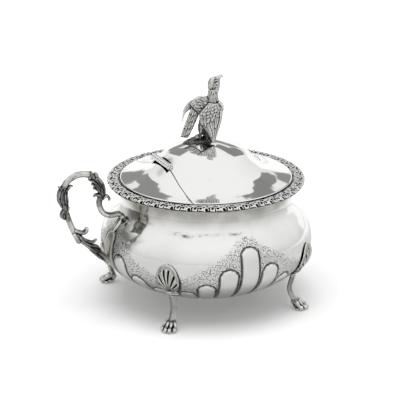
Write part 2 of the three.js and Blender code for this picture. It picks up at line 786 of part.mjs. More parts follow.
// Eagle: it stands on a mound with its head raised, one wing folded in front and the
// other spread behind. Places and half sizes are percent of its height: u runs along its
// plane, z up from the top of the dome and w away from the front.
function eagleGeometry() {
  const base = lidTopZ + solderGap;
  const parts = [];
  const unit = eagleHeight / 100;
  const e = ([u, z, w = 0]) => v3(u * unit, w * unit, base + z * unit);
  const limb = (places, inPlane, across, steps, sides = 5) => {
    const scaled = (sizes) => sizes.map((size) => size * unit);
    parts.push(bar(places.map(e), scaled(across), scaled(inPlane), steps, sides));
  };
  const lump = (place, [u, w, z], turn = 0) => {
    parts.push(egg(e(place), v3(u * unit, w * unit, z * unit), turn, 8));
  };
  const feathers = (left, right, count, thick, bulge, rows) => {
    parts.push(plate(left.map(e), right.map(e), count, thick * unit, bulge * unit, rows));
  };

  // Body, neck and head
  limb([[-7, 9], [-4, 22], [1, 30], [5, 40], [9, 49], [11, 57], [10, 65], [11, 76], [10, 88]],
    [3, 8, 11, 12, 11, 9, 7, 6.5, 4], [4, 9, 11, 12, 11, 9, 7, 6.5, 4], 8, 8);
  lump([10, 86], [7.4, 6.5, 11], 0.25);
  limb([[15, 93], [19, 97], [22, 98], [23, 96]], [4, 2.6, 1.7, 0.6], [4.2, 3, 1.8, 0.7], 3);
  limb([[16, 90], [19, 93], [21, 94]], [2.4, 1.5, 0.7], [3, 2, 0.9], 2);

  // Folded wing in front, with its shoulder
  feathers(
    [[4, 59, -5], [-4, 51, -8], [-9, 44, -9], [-10, 36, -9], [-5, 27, -10], [1, 13, -11], [7, 1, -11]],
    [[19, 59, -5], [24, 53, -6], [25, 45, -8], [24, 37, -9], [22, 26, -10], [18, 12, -11], [10, 1, -11]],
    4, 2.2, 4, 7,
  );
  limb([[18, 60, -4], [23, 55, -5], [24, 48, -7]], [2.5, 3, 2], [4, 5, 3], 3);

  // Spread wing behind: the arm, four long feathers and the smooth outer tip
  feathers(
    [[7, 64, -1], [1, 67, -1], [-5, 68], [-12, 66], [-18, 62], [-23, 56, 1]],
    [[7, 42, -1], [0, 39, -1], [-5, 38], [-10, 39], [-16, 44], [-21, 51, 1]],
    3, 3, 1, 5,
  );
  feathers(
    [[-18, 57], [-24, 45], [-28, 33], [-33, 19], [-38, 5, -1]],
    [[-8, 46], [-12, 34], [-17, 23], [-22, 13], [-26, 4, -1]],
    4, 1.8, 0, 4,
  );
  feathers(
    [[-18, 61, 3], [-26, 57, 4], [-32, 50, 4], [-35, 40, 3], [-35, 28, 2]],
    [[-17, 53, 3], [-20, 48, 4], [-26, 44, 4], [-31, 38, 3], [-34, 27, 2]],
    2, 1.8, 0, 4,
  );

  // Tail, legs and the mound, which lies on the dome
  feathers([[-4, 31, 2], [-4, 20, 4], [-5, -4, 3]], [[8, 31, 2], [8, 20, 4], [9, -4, 3]], 2, 2.4, 0, 3);
  for (const w of [-5, 5]) {
    limb([[-5, 28, w], [-7, 16, w], [-9, 7, w], [-10, -3, w]], [4.4, 2.8, 2.3, 2.7], [4.2, 3, 2.5, 3], 3, 4);
  }
  lump([-13, -4], [17, 12, 10]);
  lump([-2, -4, 1], [13, 11, 10]);

  const seatSegments = 20;
  const seatSpread = 1 / Math.cos(Math.PI / seatSegments);
  const seat = lidOutline.map((p) => v2(p.x * seatSpread, p.y + solderGap));
  const domeSeat = toSolid(revolve([...seat, v2(0, lidEdgeZ)], seatSegments));
  const bird = toGeometry(largestPiece(fuse(parts)));
  bird.rotateZ(eagleTurnDeg * deg);
  const hole = rod(studRadius + runningGap, lidEdgeZ, base + studInFinial + runningGap, 12);
  return toGeometry(largestPiece(toSolid(bird).subtract(domeSeat).subtract(toSolid(hole))));
}

// Fixing of the finial through the dome
function studGeometry() {
  return rod(studRadius, lidTopZ - lidWall - studThreadLength, lidTopZ + solderGap + studInFinial, 12);
}

const washerTopZ = heightAt(lidUnderside, washerRadius) - solderGap;
const nutTopZ = washerTopZ - washerThickness - solderGap;

function washerGeometry() {
  return tube(washerRadius, studRadius + runningGap, washerTopZ - washerThickness, washerTopZ, 16);
}

function nutGeometry() {
  const shape = new THREE.Shape(range(6).map((k) => {
    const turn = (k * Math.PI) / 3;
    return v2(nutRadius * Math.cos(turn), nutRadius * Math.sin(turn));
  }));
  const body = new THREE.ExtrudeGeometry(shape, { depth: nutHeight, bevelEnabled: false });
  body.translate(0, 0, nutTopZ - nutHeight);
  const bore = rod(studRadius + runningGap, nutTopZ - 2 * nutHeight, nutTopZ + nutHeight, 12);
  return toGeometry(toSolid(body).subtract(toSolid(bore)));
}

// Assembly
const group = new THREE.Group();

function addPiece(name, geometry, finish) {
  const mesh = new THREE.Mesh(geometry, new THREE.MeshStandardMaterial(finish));
  mesh.name = name;
  mesh.position.x = bowlAxisX;
  group.add(mesh);
}

addPiece('body_shell', bowlGeometry(), polishedSilver);
addPiece('rim_border', borderGeometry(), antiqueSilver);
addPiece('handle', handleGeometry(), antiqueSilver);
addPiece('leg_right', legGeometry(kneeRadius, ankleRadius, firstLegDeg), antiqueSilver);
addPiece('leg_back', legGeometry(kneeRadius, ankleRadius, firstLegDeg + 90), antiqueSilver);
addPiece('leg_left', legGeometry(leftKneeRadius, leftAnkleRadius, firstLegDeg + 180), antiqueSilver);
addPiece('leg_front', legGeometry(kneeRadius, ankleRadius, firstLegDeg + 270), antiqueSilver);
addPiece('glass_liner', linerGeometry(), clearGlass);
addPiece('lid_shell', lidShellGeometry(), polishedSilver);
addPiece('lid_bezel', bezelGeometry(), polishedSilver);
addPiece('lid_flap', flapGeometry(), polishedSilver);
addPiece('hinge_knuckle_back', knuckleGeometry(1), polishedSilver);
addPiece('hinge_knuckle_flap', knuckleGeometry(0), polishedSilver);
addPiece('hinge_knuckle_front', knuckleGeometry(-1), polishedSilver);
addPiece('hinge_pin', pinGeometry(), polishedSilver);
addPiece('eagle_finial', eagleGeometry(), antiqueSilver);
addPiece('finial_stud', studGeometry(), polishedSilver);
addPiece('finial_washer', washerGeometry(), polishedSilver);
addPiece('finial_nut', nutGeometry(), polishedSilver);

export default group;
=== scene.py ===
import math

import bmesh
import bpy
import numpy as np
from mathutils import Matrix, Vector


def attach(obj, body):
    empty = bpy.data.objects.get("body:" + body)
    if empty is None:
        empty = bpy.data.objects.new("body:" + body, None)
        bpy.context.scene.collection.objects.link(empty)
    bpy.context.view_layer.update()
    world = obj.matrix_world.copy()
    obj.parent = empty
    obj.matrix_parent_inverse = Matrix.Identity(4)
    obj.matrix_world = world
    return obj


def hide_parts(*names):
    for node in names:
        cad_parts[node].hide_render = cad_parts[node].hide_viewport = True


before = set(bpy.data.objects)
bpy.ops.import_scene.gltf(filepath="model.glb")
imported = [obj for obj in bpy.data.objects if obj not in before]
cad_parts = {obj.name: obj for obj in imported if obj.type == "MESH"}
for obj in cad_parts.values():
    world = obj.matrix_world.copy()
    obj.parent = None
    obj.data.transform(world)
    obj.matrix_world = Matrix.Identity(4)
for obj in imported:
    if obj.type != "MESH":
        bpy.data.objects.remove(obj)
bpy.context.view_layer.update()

# A silver dish for grated cheese. Pieces are shaped in millimetres from the bowl's
# axis and the table, with the handle on the -X side, and placed in the frame last.
MM = 0.001
AXIS_X = 17.0
WHOLE_TURN = 2 * math.pi

# Bowl
WALL = 1.0
FLAT_RADIUS = 24
BOTTOM_Z = 10
BELLY_RADIUS = 69.9
BELLY_Z = 42.5
NECK_RADIUS = 53.6
BOWL_TOP_Z = 81.2
FLANGE_RADIUS = 63.6
FLANGE_TOP_Z = 82.1

# Gadroons. The bowl is shaped with a leg on the +X side and then turned by FIRST_LEG;
# HANDLE_TURN is where the handle stands before that turn.
PANELS = 4
PER_PANEL = 7
PITCH = math.radians(12)
PANEL_MARGIN = math.radians(3)
FIRST_LEG = math.radians(-45)
HANDLE_TURN = math.radians(225)
WRAP_RADIUS = 62
LOBE_TOP_Z = [56.5, 44, 33.5, 26.5]
LOBE_RELIEF = 1.15
GROOVE = math.radians(1.15)

# Border
BORDER_OUTER = 65
BORDER_INNER = 57.4
BORDER_BASE_Z = 82.22
BORDER_TOP_Z = 84.4
VINE_UNITS = 36

# Lid
LID_RADIUS = 56.4
LID_WALL = 0.85
LID_EDGE_Z = 84.2
DOME_HEIGHT = 24.2
FLAP_TURN = math.pi
FLAP_CHORD = 30.5
SEAM = 0.45
HINGE_Z = 98.01
BARREL_LENGTH = 26
BARREL_RADIUS = 2.1
BARREL_BORE = 1.0
BARREL_OFFSET = 2.5
KNUCKLE_GAP = 0.3
BEZEL_RADIUS = 49.4
BEZEL_LOW_Z = 78.7

# Legs
KNEE_Z = 14
ANKLE_Z = 6.2
COMMON_LEG = (58.8, 62.6)
LEFT_LEG = (69.5, 67.6)
PALMETTE_BASE_Z = 27.5
PALMETTE_SPREAD = math.radians(88)
FLUTES = 9

# Size of the grid that the skins of the cast pieces are made on
CAST_GRID = 0.28
BORDER_GRID = 0.29
EAGLE_GRID = 0.24

scene = bpy.context.scene


# Curves and outlines

def spline(points, count):
    """Points along a smooth curve through the given ones."""
    knots = [Vector(p) for p in points]
    last = len(knots) - 1
    made = []
    for i in range(count + 1):
        place = i / count * last
        k = min(int(place), last - 1)
        w = place - k
        a, b = knots[max(k - 1, 0)], knots[k]
        c, d = knots[k + 1], knots[min(k + 2, last)]
        made.append(0.5 * (
            2 * b + (c - a) * w
            + (2 * a - 5 * b + 4 * c - d) * w * w
            + (3 * b - 3 * c + d - a) * w ** 3))
    return made


def spread(values, t):
    """Value at share t of a list spread evenly from 0 to 1."""
    place = t * (len(values) - 1)
    k = min(int(place), len(values) - 2)
    return values[k] + (values[k + 1] - values[k]) * (place - k)


def smooth_step(x):
    x = np.clip(x, 0, 1)
    return x * x * (3 - 2 * x)


def onset(x, start, end):
    """0 up to start, 1 from end on, smooth between them; end may lie below start."""
    return smooth_step((x - start) / (end - start))


def between(low, high, share):
    return low + share * (high - low)


def bowl_outline(count):
    """From the flat bottom over the belly to the neck. Each place is a share of the way
    from one radius, and one height, to the next."""
    below = [(0, 0), (0.2, 0.05), (0.38, 0.14), (0.54, 0.24), (0.7, 0.37), (0.83, 0.51),
             (0.93, 0.67), (0.985, 0.84)]
    above = [(1, 0), (0.96, 0.16), (0.84, 0.3), (0.63, 0.43), (0.38, 0.53), (0.17, 0.62),
             (0.04, 0.73), (0, 0.86), (0, 1)]
    return spline(
        [(between(FLAT_RADIUS, BELLY_RADIUS, r), between(BOTTOM_Z, BELLY_Z, h)) for r, h in below]
        + [(between(NECK_RADIUS, BELLY_RADIUS, r), between(BELLY_Z, BOWL_TOP_Z, h))
           for r, h in above], count)


FINE_OUTLINE = bowl_outline(640)
OUTLINE_R = np.array([p.x for p in FINE_OUTLINE])
OUTLINE_Z = np.array([p.y for p in FINE_OUTLINE])
OUTLINE_S = np.append(0, np.cumsum(np.hypot(np.diff(OUTLINE_R), np.diff(OUTLINE_Z))))


def bowl_radius(z):
    return np.interp(z, OUTLINE_Z, OUTLINE_R)


def lid_outline(count):
    def dome(share):
        return LID_EDGE_Z + LID_WALL + share * DOME_HEIGHT

    shares = [(0, 1), (0.14, 0.973), (0.28, 0.888), (0.40, 0.785), (0.47, 0.70), (0.541, 0.535),
              (0.605, 0.395), (0.685, 0.245), (0.77, 0.15), (0.88, 0.063), (1, 0)]
    return spline([(r * LID_RADIUS, dome(h)) for r, h in shares], count)


# Mesh making

def everything(bm):
    return bm.verts[:] + bm.edges[:] + bm.faces[:]


def rotate(bm, verts, angle, axis="Z"):
    bmesh.ops.rotate(bm, verts=verts, cent=(0, 0, 0), matrix=Matrix.Rotation(angle, 3, axis))


def cut(bm, place, direction, **cleared):
    bmesh.ops.bisect_plane(bm, geom=everything(bm), dist=1e-4, plane_co=place,
                           plane_no=direction, **cleared)


def fill_holes(bm):
    bmesh.ops.holes_fill(bm, edges=[e for e in bm.edges if e.is_boundary], sides=0)


def grow(bm, ring):
    """A copy of the ring, joined to it by a band of faces."""
    edges = [bm.edges.get((ring[i - 1], ring[i])) for i in range(len(ring))]
    made = bmesh.ops.extrude_edge_only(bm, edges=edges)["geom"]
    fresh = {v for v in made if isinstance(v, bmesh.types.BMVert)}
    return [next(e.other_vert(v) for e in v.link_edges if e.other_vert(v) in fresh) for v in ring]


def close_ring(bm, ring):
    edges = [bm.edges.get((ring[i - 1], ring[i])) for i in range(len(ring))]
    bmesh.ops.contextual_create(bm, geom=edges)


def loft(bm, rings):
    """A closed bar through rings of points, each grown out of the one before."""
    ring = bmesh.ops.create_circle(bm, segments=len(rings[0]), radius=1)["verts"]
    first = ring
    for k, points in enumerate(rings):
        if k:
            ring = grow(bm, ring)
        for vert, point in zip(ring, points):
            vert.co = point
    close_ring(bm, first)
    close_ring(bm, ring)


def bar(bm, points, widths, depths, across=(0, 1, 0), steps=16, sides=10, keel=0.0):
    """An oval bar along a smooth curve. Widths and depths are half sizes spread along it;
    keel pinches the oval towards a ridge along the middle of both faces."""
    path = spline(points, steps)
    across = Vector(across)
    rings = []
    for i, centre in enumerate(path):
        t = i / steps
        tangent = (path[min(i + 1, steps)] - path[max(i - 1, 0)]).normalized()
        side = (across - tangent * across.dot(tangent)).normalized()
        normal = tangent.cross(side)
        wide, deep = spread(widths, t), spread(depths, t)
        ring = []
        for k in range(sides):
            turn = WHOLE_TURN * k / sides
            lift = math.sin(turn) * (1 - keel + keel * abs(math.sin(turn)) ** 3)
            ring.append(centre + side * wide * math.cos(turn) + normal * deep * lift)
        rings.append(ring)
    loft(bm, rings)


def egg(bm, centre, radii, turn=(0, 0, 0), level=3):
    place = Matrix.Translation(centre)
    for angle, axis in zip(turn, "XYZ"):
        place = place @ Matrix.Rotation(angle, 4, axis)
    place = place @ Matrix.Diagonal((*radii, 1))
    bmesh.ops.create_icosphere(bm, subdivisions=level, radius=1, matrix=place)


def spun(profile, steps, angle=WHOLE_TURN, start=0.0):
    """A profile of (radius, height) points turned about the Z axis. A whole turn is a
    quarter turn and three copies of it."""
    whole = angle == WHOLE_TURN
    bm = bmesh.new()
    verts = [bm.verts.new((r, 0, z)) for r, z in profile]
    edges = [bm.edges.new(pair) for pair in zip(verts, verts[1:])]
    rotate(bm, verts, start)
    bmesh.ops.spin(bm, geom=verts + edges, cent=(0, 0, 0), axis=(0, 0, 1),
                   angle=angle / 4 if whole else angle, steps=steps // 4 if whole else steps)
    if whole:
        quarter = everything(bm)
        for k in (1, 2, 3):
            copy = bmesh.ops.duplicate(bm, geom=quarter)["geom"]
            corners = [v for v in copy if isinstance(v, bmesh.types.BMVert)]
            rotate(bm, corners, k * math.pi / 2)
    bmesh.ops.remove_doubles(bm, verts=bm.verts, dist=1e-3)
    bmesh.ops.recalc_face_normals(bm, faces=bm.faces)
    return bm


def add_object(name, data):
    made = bpy.data.objects.new(name, data)
    scene.collection.objects.link(made)
    return made


def skin(bm, grid, passes=2):
    """One skin round overlapping parts, as metal fills a mould."""
    mesh = bpy.data.meshes.new("mould")
    bmesh.ops.recalc_face_normals(bm, faces=bm.faces)
    bm.to_mesh(mesh)
    bm.free()
    mould = add_object("mould", mesh)
    wrap = mould.modifiers.new("skin", "REMESH")
    wrap.mode = "VOXEL"
    wrap.voxel_size = grid
    made = bmesh.new()
    made.from_object(mould, bpy.context.evaluated_depsgraph_get())
    bpy.data.objects.remove(mould)
    bpy.data.meshes.remove(mesh)
    for _ in range(passes):
        bmesh.ops.smooth_vert(made, verts=made.verts, factor=0.5,
                              use_axis_x=True, use_axis_y=True, use_axis_z=True)
    return made


def read(items, key, width=1, kind=np.float32):
    """One property of all vertices, edges, corners or faces of a mesh."""
    values = np.empty(len(items) * width, kind)
    items.foreach_get(key, values)
    return values.reshape(-1, width) if width > 1 else values


def points_of(mesh):
    return read(mesh.vertices, "co", 3).astype(float)


def set_points(mesh, co):
    mesh.vertices.foreach_set("co", co.astype(np.float32).ravel())
    mesh.update()


def mark(mesh, name, values):
    layer = mesh.attributes.new(name, "FLOAT", "POINT")
    layer.data.foreach_set("value", np.asarray(values, np.float32))


def mark_wrap(mesh, turn, along):
    """The mesh's own UV map, in millimetres round the bowl and along its outline."""
    corner = read(mesh.loops, "vertex_index", kind=np.int32)
    sizes = read(mesh.polygons, "loop_total", kind=np.int32)
    start = np.append(0, np.cumsum(sizes)[:-1])
    turns = turn[corner]
    first = np.repeat(turns[start], sizes)
    turns = turns + WHOLE_TURN * np.round((first - turns) / WHOLE_TURN)
    wrap = np.stack([turns * WRAP_RADIUS, along[corner]], 1).astype(np.float32)
    mesh.uv_layers.new(name="wrap").data.foreach_set("uv", wrap.ravel())


def mark_hollows(mesh, depth, passes=10):
    """Where the surface lies in a hollow, from 0 on the open face to 1 in a deep corner."""
    co = points_of(mesh)
    a, b = read(mesh.edges, "vertices", 2, np.int32).T
    count = np.bincount(np.append(a, b), minlength=len(co)).clip(1)[:, None]
    normals = read(mesh.vertices, "normal", 3)
    flat = co
    for _ in range(passes):
        total = np.stack([
            np.bincount(a, flat[b, k], len(co)) + np.bincount(b, flat[a, k], len(co))
            for k in range(3)], 1)
        flat = total / count
    sunk = ((flat - co) * normals).sum(1) / depth
    mark(mesh, "hollow", np.clip(sunk, 0, 1))
    mark(mesh, "ridge", np.clip(-sunk, 0, 1))


def place_piece(name, source, material, body, node, sharp=None):
    """Puts a shape made in millimetres into the frame as a finished piece. Its shading
    breaks at edges sharper than sharp degrees."""
    mesh = to_mesh(source, name) if isinstance(source, bmesh.types.BMesh) else source
    mesh.name = name
    mesh.transform(Matrix.Translation((AXIS_X * MM, 0, 0)) @ Matrix.Diagonal((MM, MM, MM, 1)))
    mesh.shade_smooth()
    if sharp:
        mesh.set_sharp_from_angle(angle=math.radians(sharp))
    mesh.materials.append(material)
    piece = add_object(name, mesh)
    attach(piece, body)
    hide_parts(node)
    return piece


def to_mesh(bm, name):
    mesh = bpy.data.meshes.new(name)
    bm.to_mesh(mesh)
    bm.free()
    return mesh


# Materials

class Nodes:
    """The nodes of a material or of the world, built up one at a time."""

    def __init__(self, owner):
        owner.use_nodes = True
        self.owner = owner
        self.tree = owner.node_tree
        self.shader = self.tree.nodes.get("Principled BSDF")

    def node(self, kind, inputs=None, **settings):
        made = self.tree.nodes.new(kind)
        for key, value in settings.items():
            setattr(made, key, value)
        for key, value in (inputs or {}).items():
            self.feed(made.inputs[key], value)
        return made

    def feed(self, socket, value):
        if isinstance(value, bpy.types.NodeSocket):
            self.tree.links.new(value, socket)
        else:
            socket.default_value = value

    def set(self, **values):
        for key, value in values.items():
            self.feed(self.shader.inputs[key.replace("_", " ")], value)

    def surface(self, shader):
        self.feed(self.tree.nodes["Material Output"].inputs["Surface"], shader.outputs[0])

    def math(self, operation, a, b=0.0, clamp=False):
        made = self.node("ShaderNodeMath", {0: a, 1: b}, operation=operation, use_clamp=clamp)
        return made.outputs[0]

    def place(self):
        return self.node("ShaderNodeTexCoord").outputs["Object"]

    def noise(self, scale, detail=3.0):
        made = self.node("ShaderNodeTexNoise", {
            "Vector": self.place(), "Scale": scale, "Detail": detail})
        return made.outputs[0]

    def attribute(self, name):
        return self.node("ShaderNodeAttribute", attribute_name=name).outputs["Fac"]

    def band(self, value, low, high, to_low=0.0, to_high=1.0):
        made = self.node("ShaderNodeMapRange", {
            "Value": value, "From Min": low, "From Max": high,
            "To Min": to_low, "To Max": to_high})
        return made.outputs[0]

    def mix(self, share, a, b):
        made = self.node("ShaderNodeMix", {"Factor": share}, data_type="RGBA")
        self.feed(made.inputs[6], a)
        self.feed(made.inputs[7], b)
        return made.outputs[2]

    def bump(self, height, strength, distance, under=None):
        made = self.node("ShaderNodeBump", {
            "Height": height, "Strength": strength, "Distance": distance})
        if under is not None:
            self.feed(made.inputs["Normal"], under)
        return made.outputs[0]


def finish(name):
    return Nodes(bpy.data.materials.new(name))


SILVER = (0.87, 0.875, 0.86, 1)
TARNISH_AND_SHADE_GREY = (0.34, 0.325, 0.28, 1)
OXIDE_AND_SHADOW = (0.03, 0.03, 0.027, 1)
BLACK_PATINA_AND_SHADE = (0.018, 0.018, 0.016, 1)


def polished_silver():
    f = finish("polished silver")
    dents = f.noise(55, 1.5)
    haze = f.noise(900, 4)
    tarnish_and_shade = f.band(f.noise(160, 3), 0.66, 0.74, 0.0, 0.12)
    f.set(Metallic=1.0,
          Base_Color=f.mix(tarnish_and_shade, SILVER, (0.55, 0.52, 0.47, 1)),
          Roughness=f.band(haze, 0.3, 0.7, 0.04, 0.09),
          Normal=f.bump(dents, 0.10, 0.004))
    return f.owner


def chased_silver():
    """The bowl: satin lobes, punched ground and dark lines round the lobes, with a painted shadow
    line round each palmette and bands of painted shade and reflection.
    """
    f = finish("chased silver")
    matted, satin, line = (f.attribute(name) for name in ("matted", "satin", "line"))
    punch = f.node("ShaderNodeTexVoronoi", {
        "Vector": f.node("ShaderNodeUVMap", uv_map="wrap").outputs["UV"],
        "Scale": 1.0, "Randomness": 0.75}, voronoi_dimensions="2D").outputs
    far = punch["Distance"]
    uneven = f.math("MULTIPLY", punch["Color"], 0.6)
    struck = f.band(f.math("ADD", matted, uneven), 0.58, 0.68)
    ground = f.math("MULTIPLY", struck, f.band(far, 0.4, 0.58, 0.0, 0.72))
    lines = f.math("MULTIPLY", line, f.band(f.noise(240, 5), 0.25, 0.6, 0.75, 1.0))
    dark = f.math("ADD", ground, lines, clamp=True)
    # the bowl's bands of painted shade and reflection, made blotchy; the clouds below are random
    # tarnish
    blotchy_shade = f.math("MULTIPLY", f.attribute("tarnish_and_shade"), f.band(f.noise(90, 5), 0.3, 0.6, 0.6, 1.1))
    cloud = f.band(f.noise(38, 5), 0.42, 0.72, 0.0, 0.16)
    tarnish_and_shade = f.math("ADD", blotchy_shade, cloud, clamp=True)
    matt = f.math("ADD", f.math("MULTIPLY", struck, 0.14), f.math("MULTIPLY", satin, 0.24))
    dents = f.bump(f.noise(48, 2), 0.22, 0.004)
    f.set(Metallic=1.0,
          Base_Color=f.mix(dark, f.mix(tarnish_and_shade, SILVER, TARNISH_AND_SHADE_GREY), OXIDE_AND_SHADOW),
          Roughness=f.math("ADD", f.band(f.noise(800, 4), 0.3, 0.7, 0.07, 0.13), matt),
          Normal=f.bump(f.math("MULTIPLY", far, struck), 0.5, -0.0004, dents))
    return f.owner


def cast_silver(name, base, worn, dirt):
    """Cast and antiqued: bright on the worn ridges, nearly black in the hollows; ambient occlusion
    and the pieces' own marks add painted shade.
    """
    f = finish(name)
    grain = f.noise(700, 5)
    # ambient occlusion: oxide in the creases, and painted shade
    shade = f.node("ShaderNodeAmbientOcclusion", {"Distance": 0.004}, only_local=True,
                   samples=8).outputs["AO"]
    creased = f.band(shade, 0.4, 0.85, 0.95, 0.0)
    dark_patina_and_shade = f.math("MAXIMUM", creased, f.attribute("patina_and_shade"))
    patchy = f.math("ADD", f.math("MULTIPLY", f.band(f.noise(170, 3), 0.35, 0.75), dirt),
                    f.math("MULTIPLY", f.band(f.noise(1100, 2), 0.5, 0.68), dirt))
    sunk = f.math("MAXIMUM", f.band(f.attribute("hollow"), 0.03, 0.3), dark_patina_and_shade)
    dark = f.math("ADD", sunk, patchy, clamp=True)
    open_metal = f.mix(f.band(f.attribute("ridge"), 0.03, 0.35), base, worn)
    rough = f.math("MULTIPLY", dark, 0.3)
    f.set(Metallic=1.0,
          Base_Color=f.mix(dark, open_metal, BLACK_PATINA_AND_SHADE),
          Roughness=f.math("ADD", f.band(grain, 0.3, 0.7, 0.13, 0.24), rough),
          Normal=f.bump(grain, 0.3, 0.0003))
    return f.owner


def liner_glass():
    f = finish("liner glass")
    f.set(Base_Color=f.mix(f.noise(20, 1), (0.93, 0.97, 0.96, 1), (0.97, 1.0, 0.99, 1)),
          Roughness=f.band(f.noise(500, 3), 0.3, 0.7, 0.02, 0.05),
          Normal=f.bump(f.noise(30, 1), 0.1, 0.002),
          Transmission_Weight=1.0, IOR=1.5)
    return f.owner


POLISHED = polished_silver()
CHASED = chased_silver()
# One cast finish at four brightnesses: the darker handle and the lighter border are partly painted
# shade and light for where each part sits.
DARK_CAST = cast_silver(
    "dark cast silver", (0.31, 0.305, 0.285, 1), (0.92, 0.915, 0.88, 1), 0.40)
GREY_CAST = cast_silver(
    "grey cast silver", (0.45, 0.445, 0.42, 1), (0.88, 0.875, 0.84, 1), 0.26)
BIRD_CAST = cast_silver(
    "bird cast silver", (0.48, 0.475, 0.45, 1), (0.95, 0.945, 0.92, 1), 0.27)
LIGHT_CAST = cast_silver(
    "light cast silver", (0.70, 0.70, 0.68, 1), (0.97, 0.97, 0.95, 1), 0.14)
GLASS = liner_glass()


# Bowl

MARGIN_COLUMNS = 3
LOBE_COLUMNS = 20
PANEL_COLUMNS = PER_PANEL * LOBE_COLUMNS + 2 * MARGIN_COLUMNS
COLUMNS = PANELS * PANEL_COLUMNS


def column_turns():
    """Angles of the bowl's columns, closer together beside the grooves."""
    turns = []
    crowding = 0.8 * math.pi / 2
    for panel in range(PANELS):
        start = panel * WHOLE_TURN / PANELS
        turns += [start + PANEL_MARGIN * i / MARGIN_COLUMNS for i in range(MARGIN_COLUMNS)]
        for lobe in range(PER_PANEL):
            centre = start + PANEL_MARGIN + (lobe + 0.5) * PITCH
            for i in range(LOBE_COLUMNS):
                share = math.sin((2 * i / LOBE_COLUMNS - 1) * crowding) / math.sin(crowding)
                turns.append(centre + share * PITCH / 2)
        end = start + WHOLE_TURN / PANELS
        turns += [end - PANEL_MARGIN * (1 - i / MARGIN_COLUMNS) for i in range(MARGIN_COLUMNS)]
    return np.array(turns)


def palmette_reach(angle):
    """Distance from the palmette's root to its edge, at an angle from straight up."""
    return np.interp(np.abs(angle), np.radians([0, 10, 20, 30, 40, 50, 60, 75, 90]),
                     [20.4, 19.5, 17.2, 14.4, 11.9, 9.5, 7.4, 5.2, 4.6])


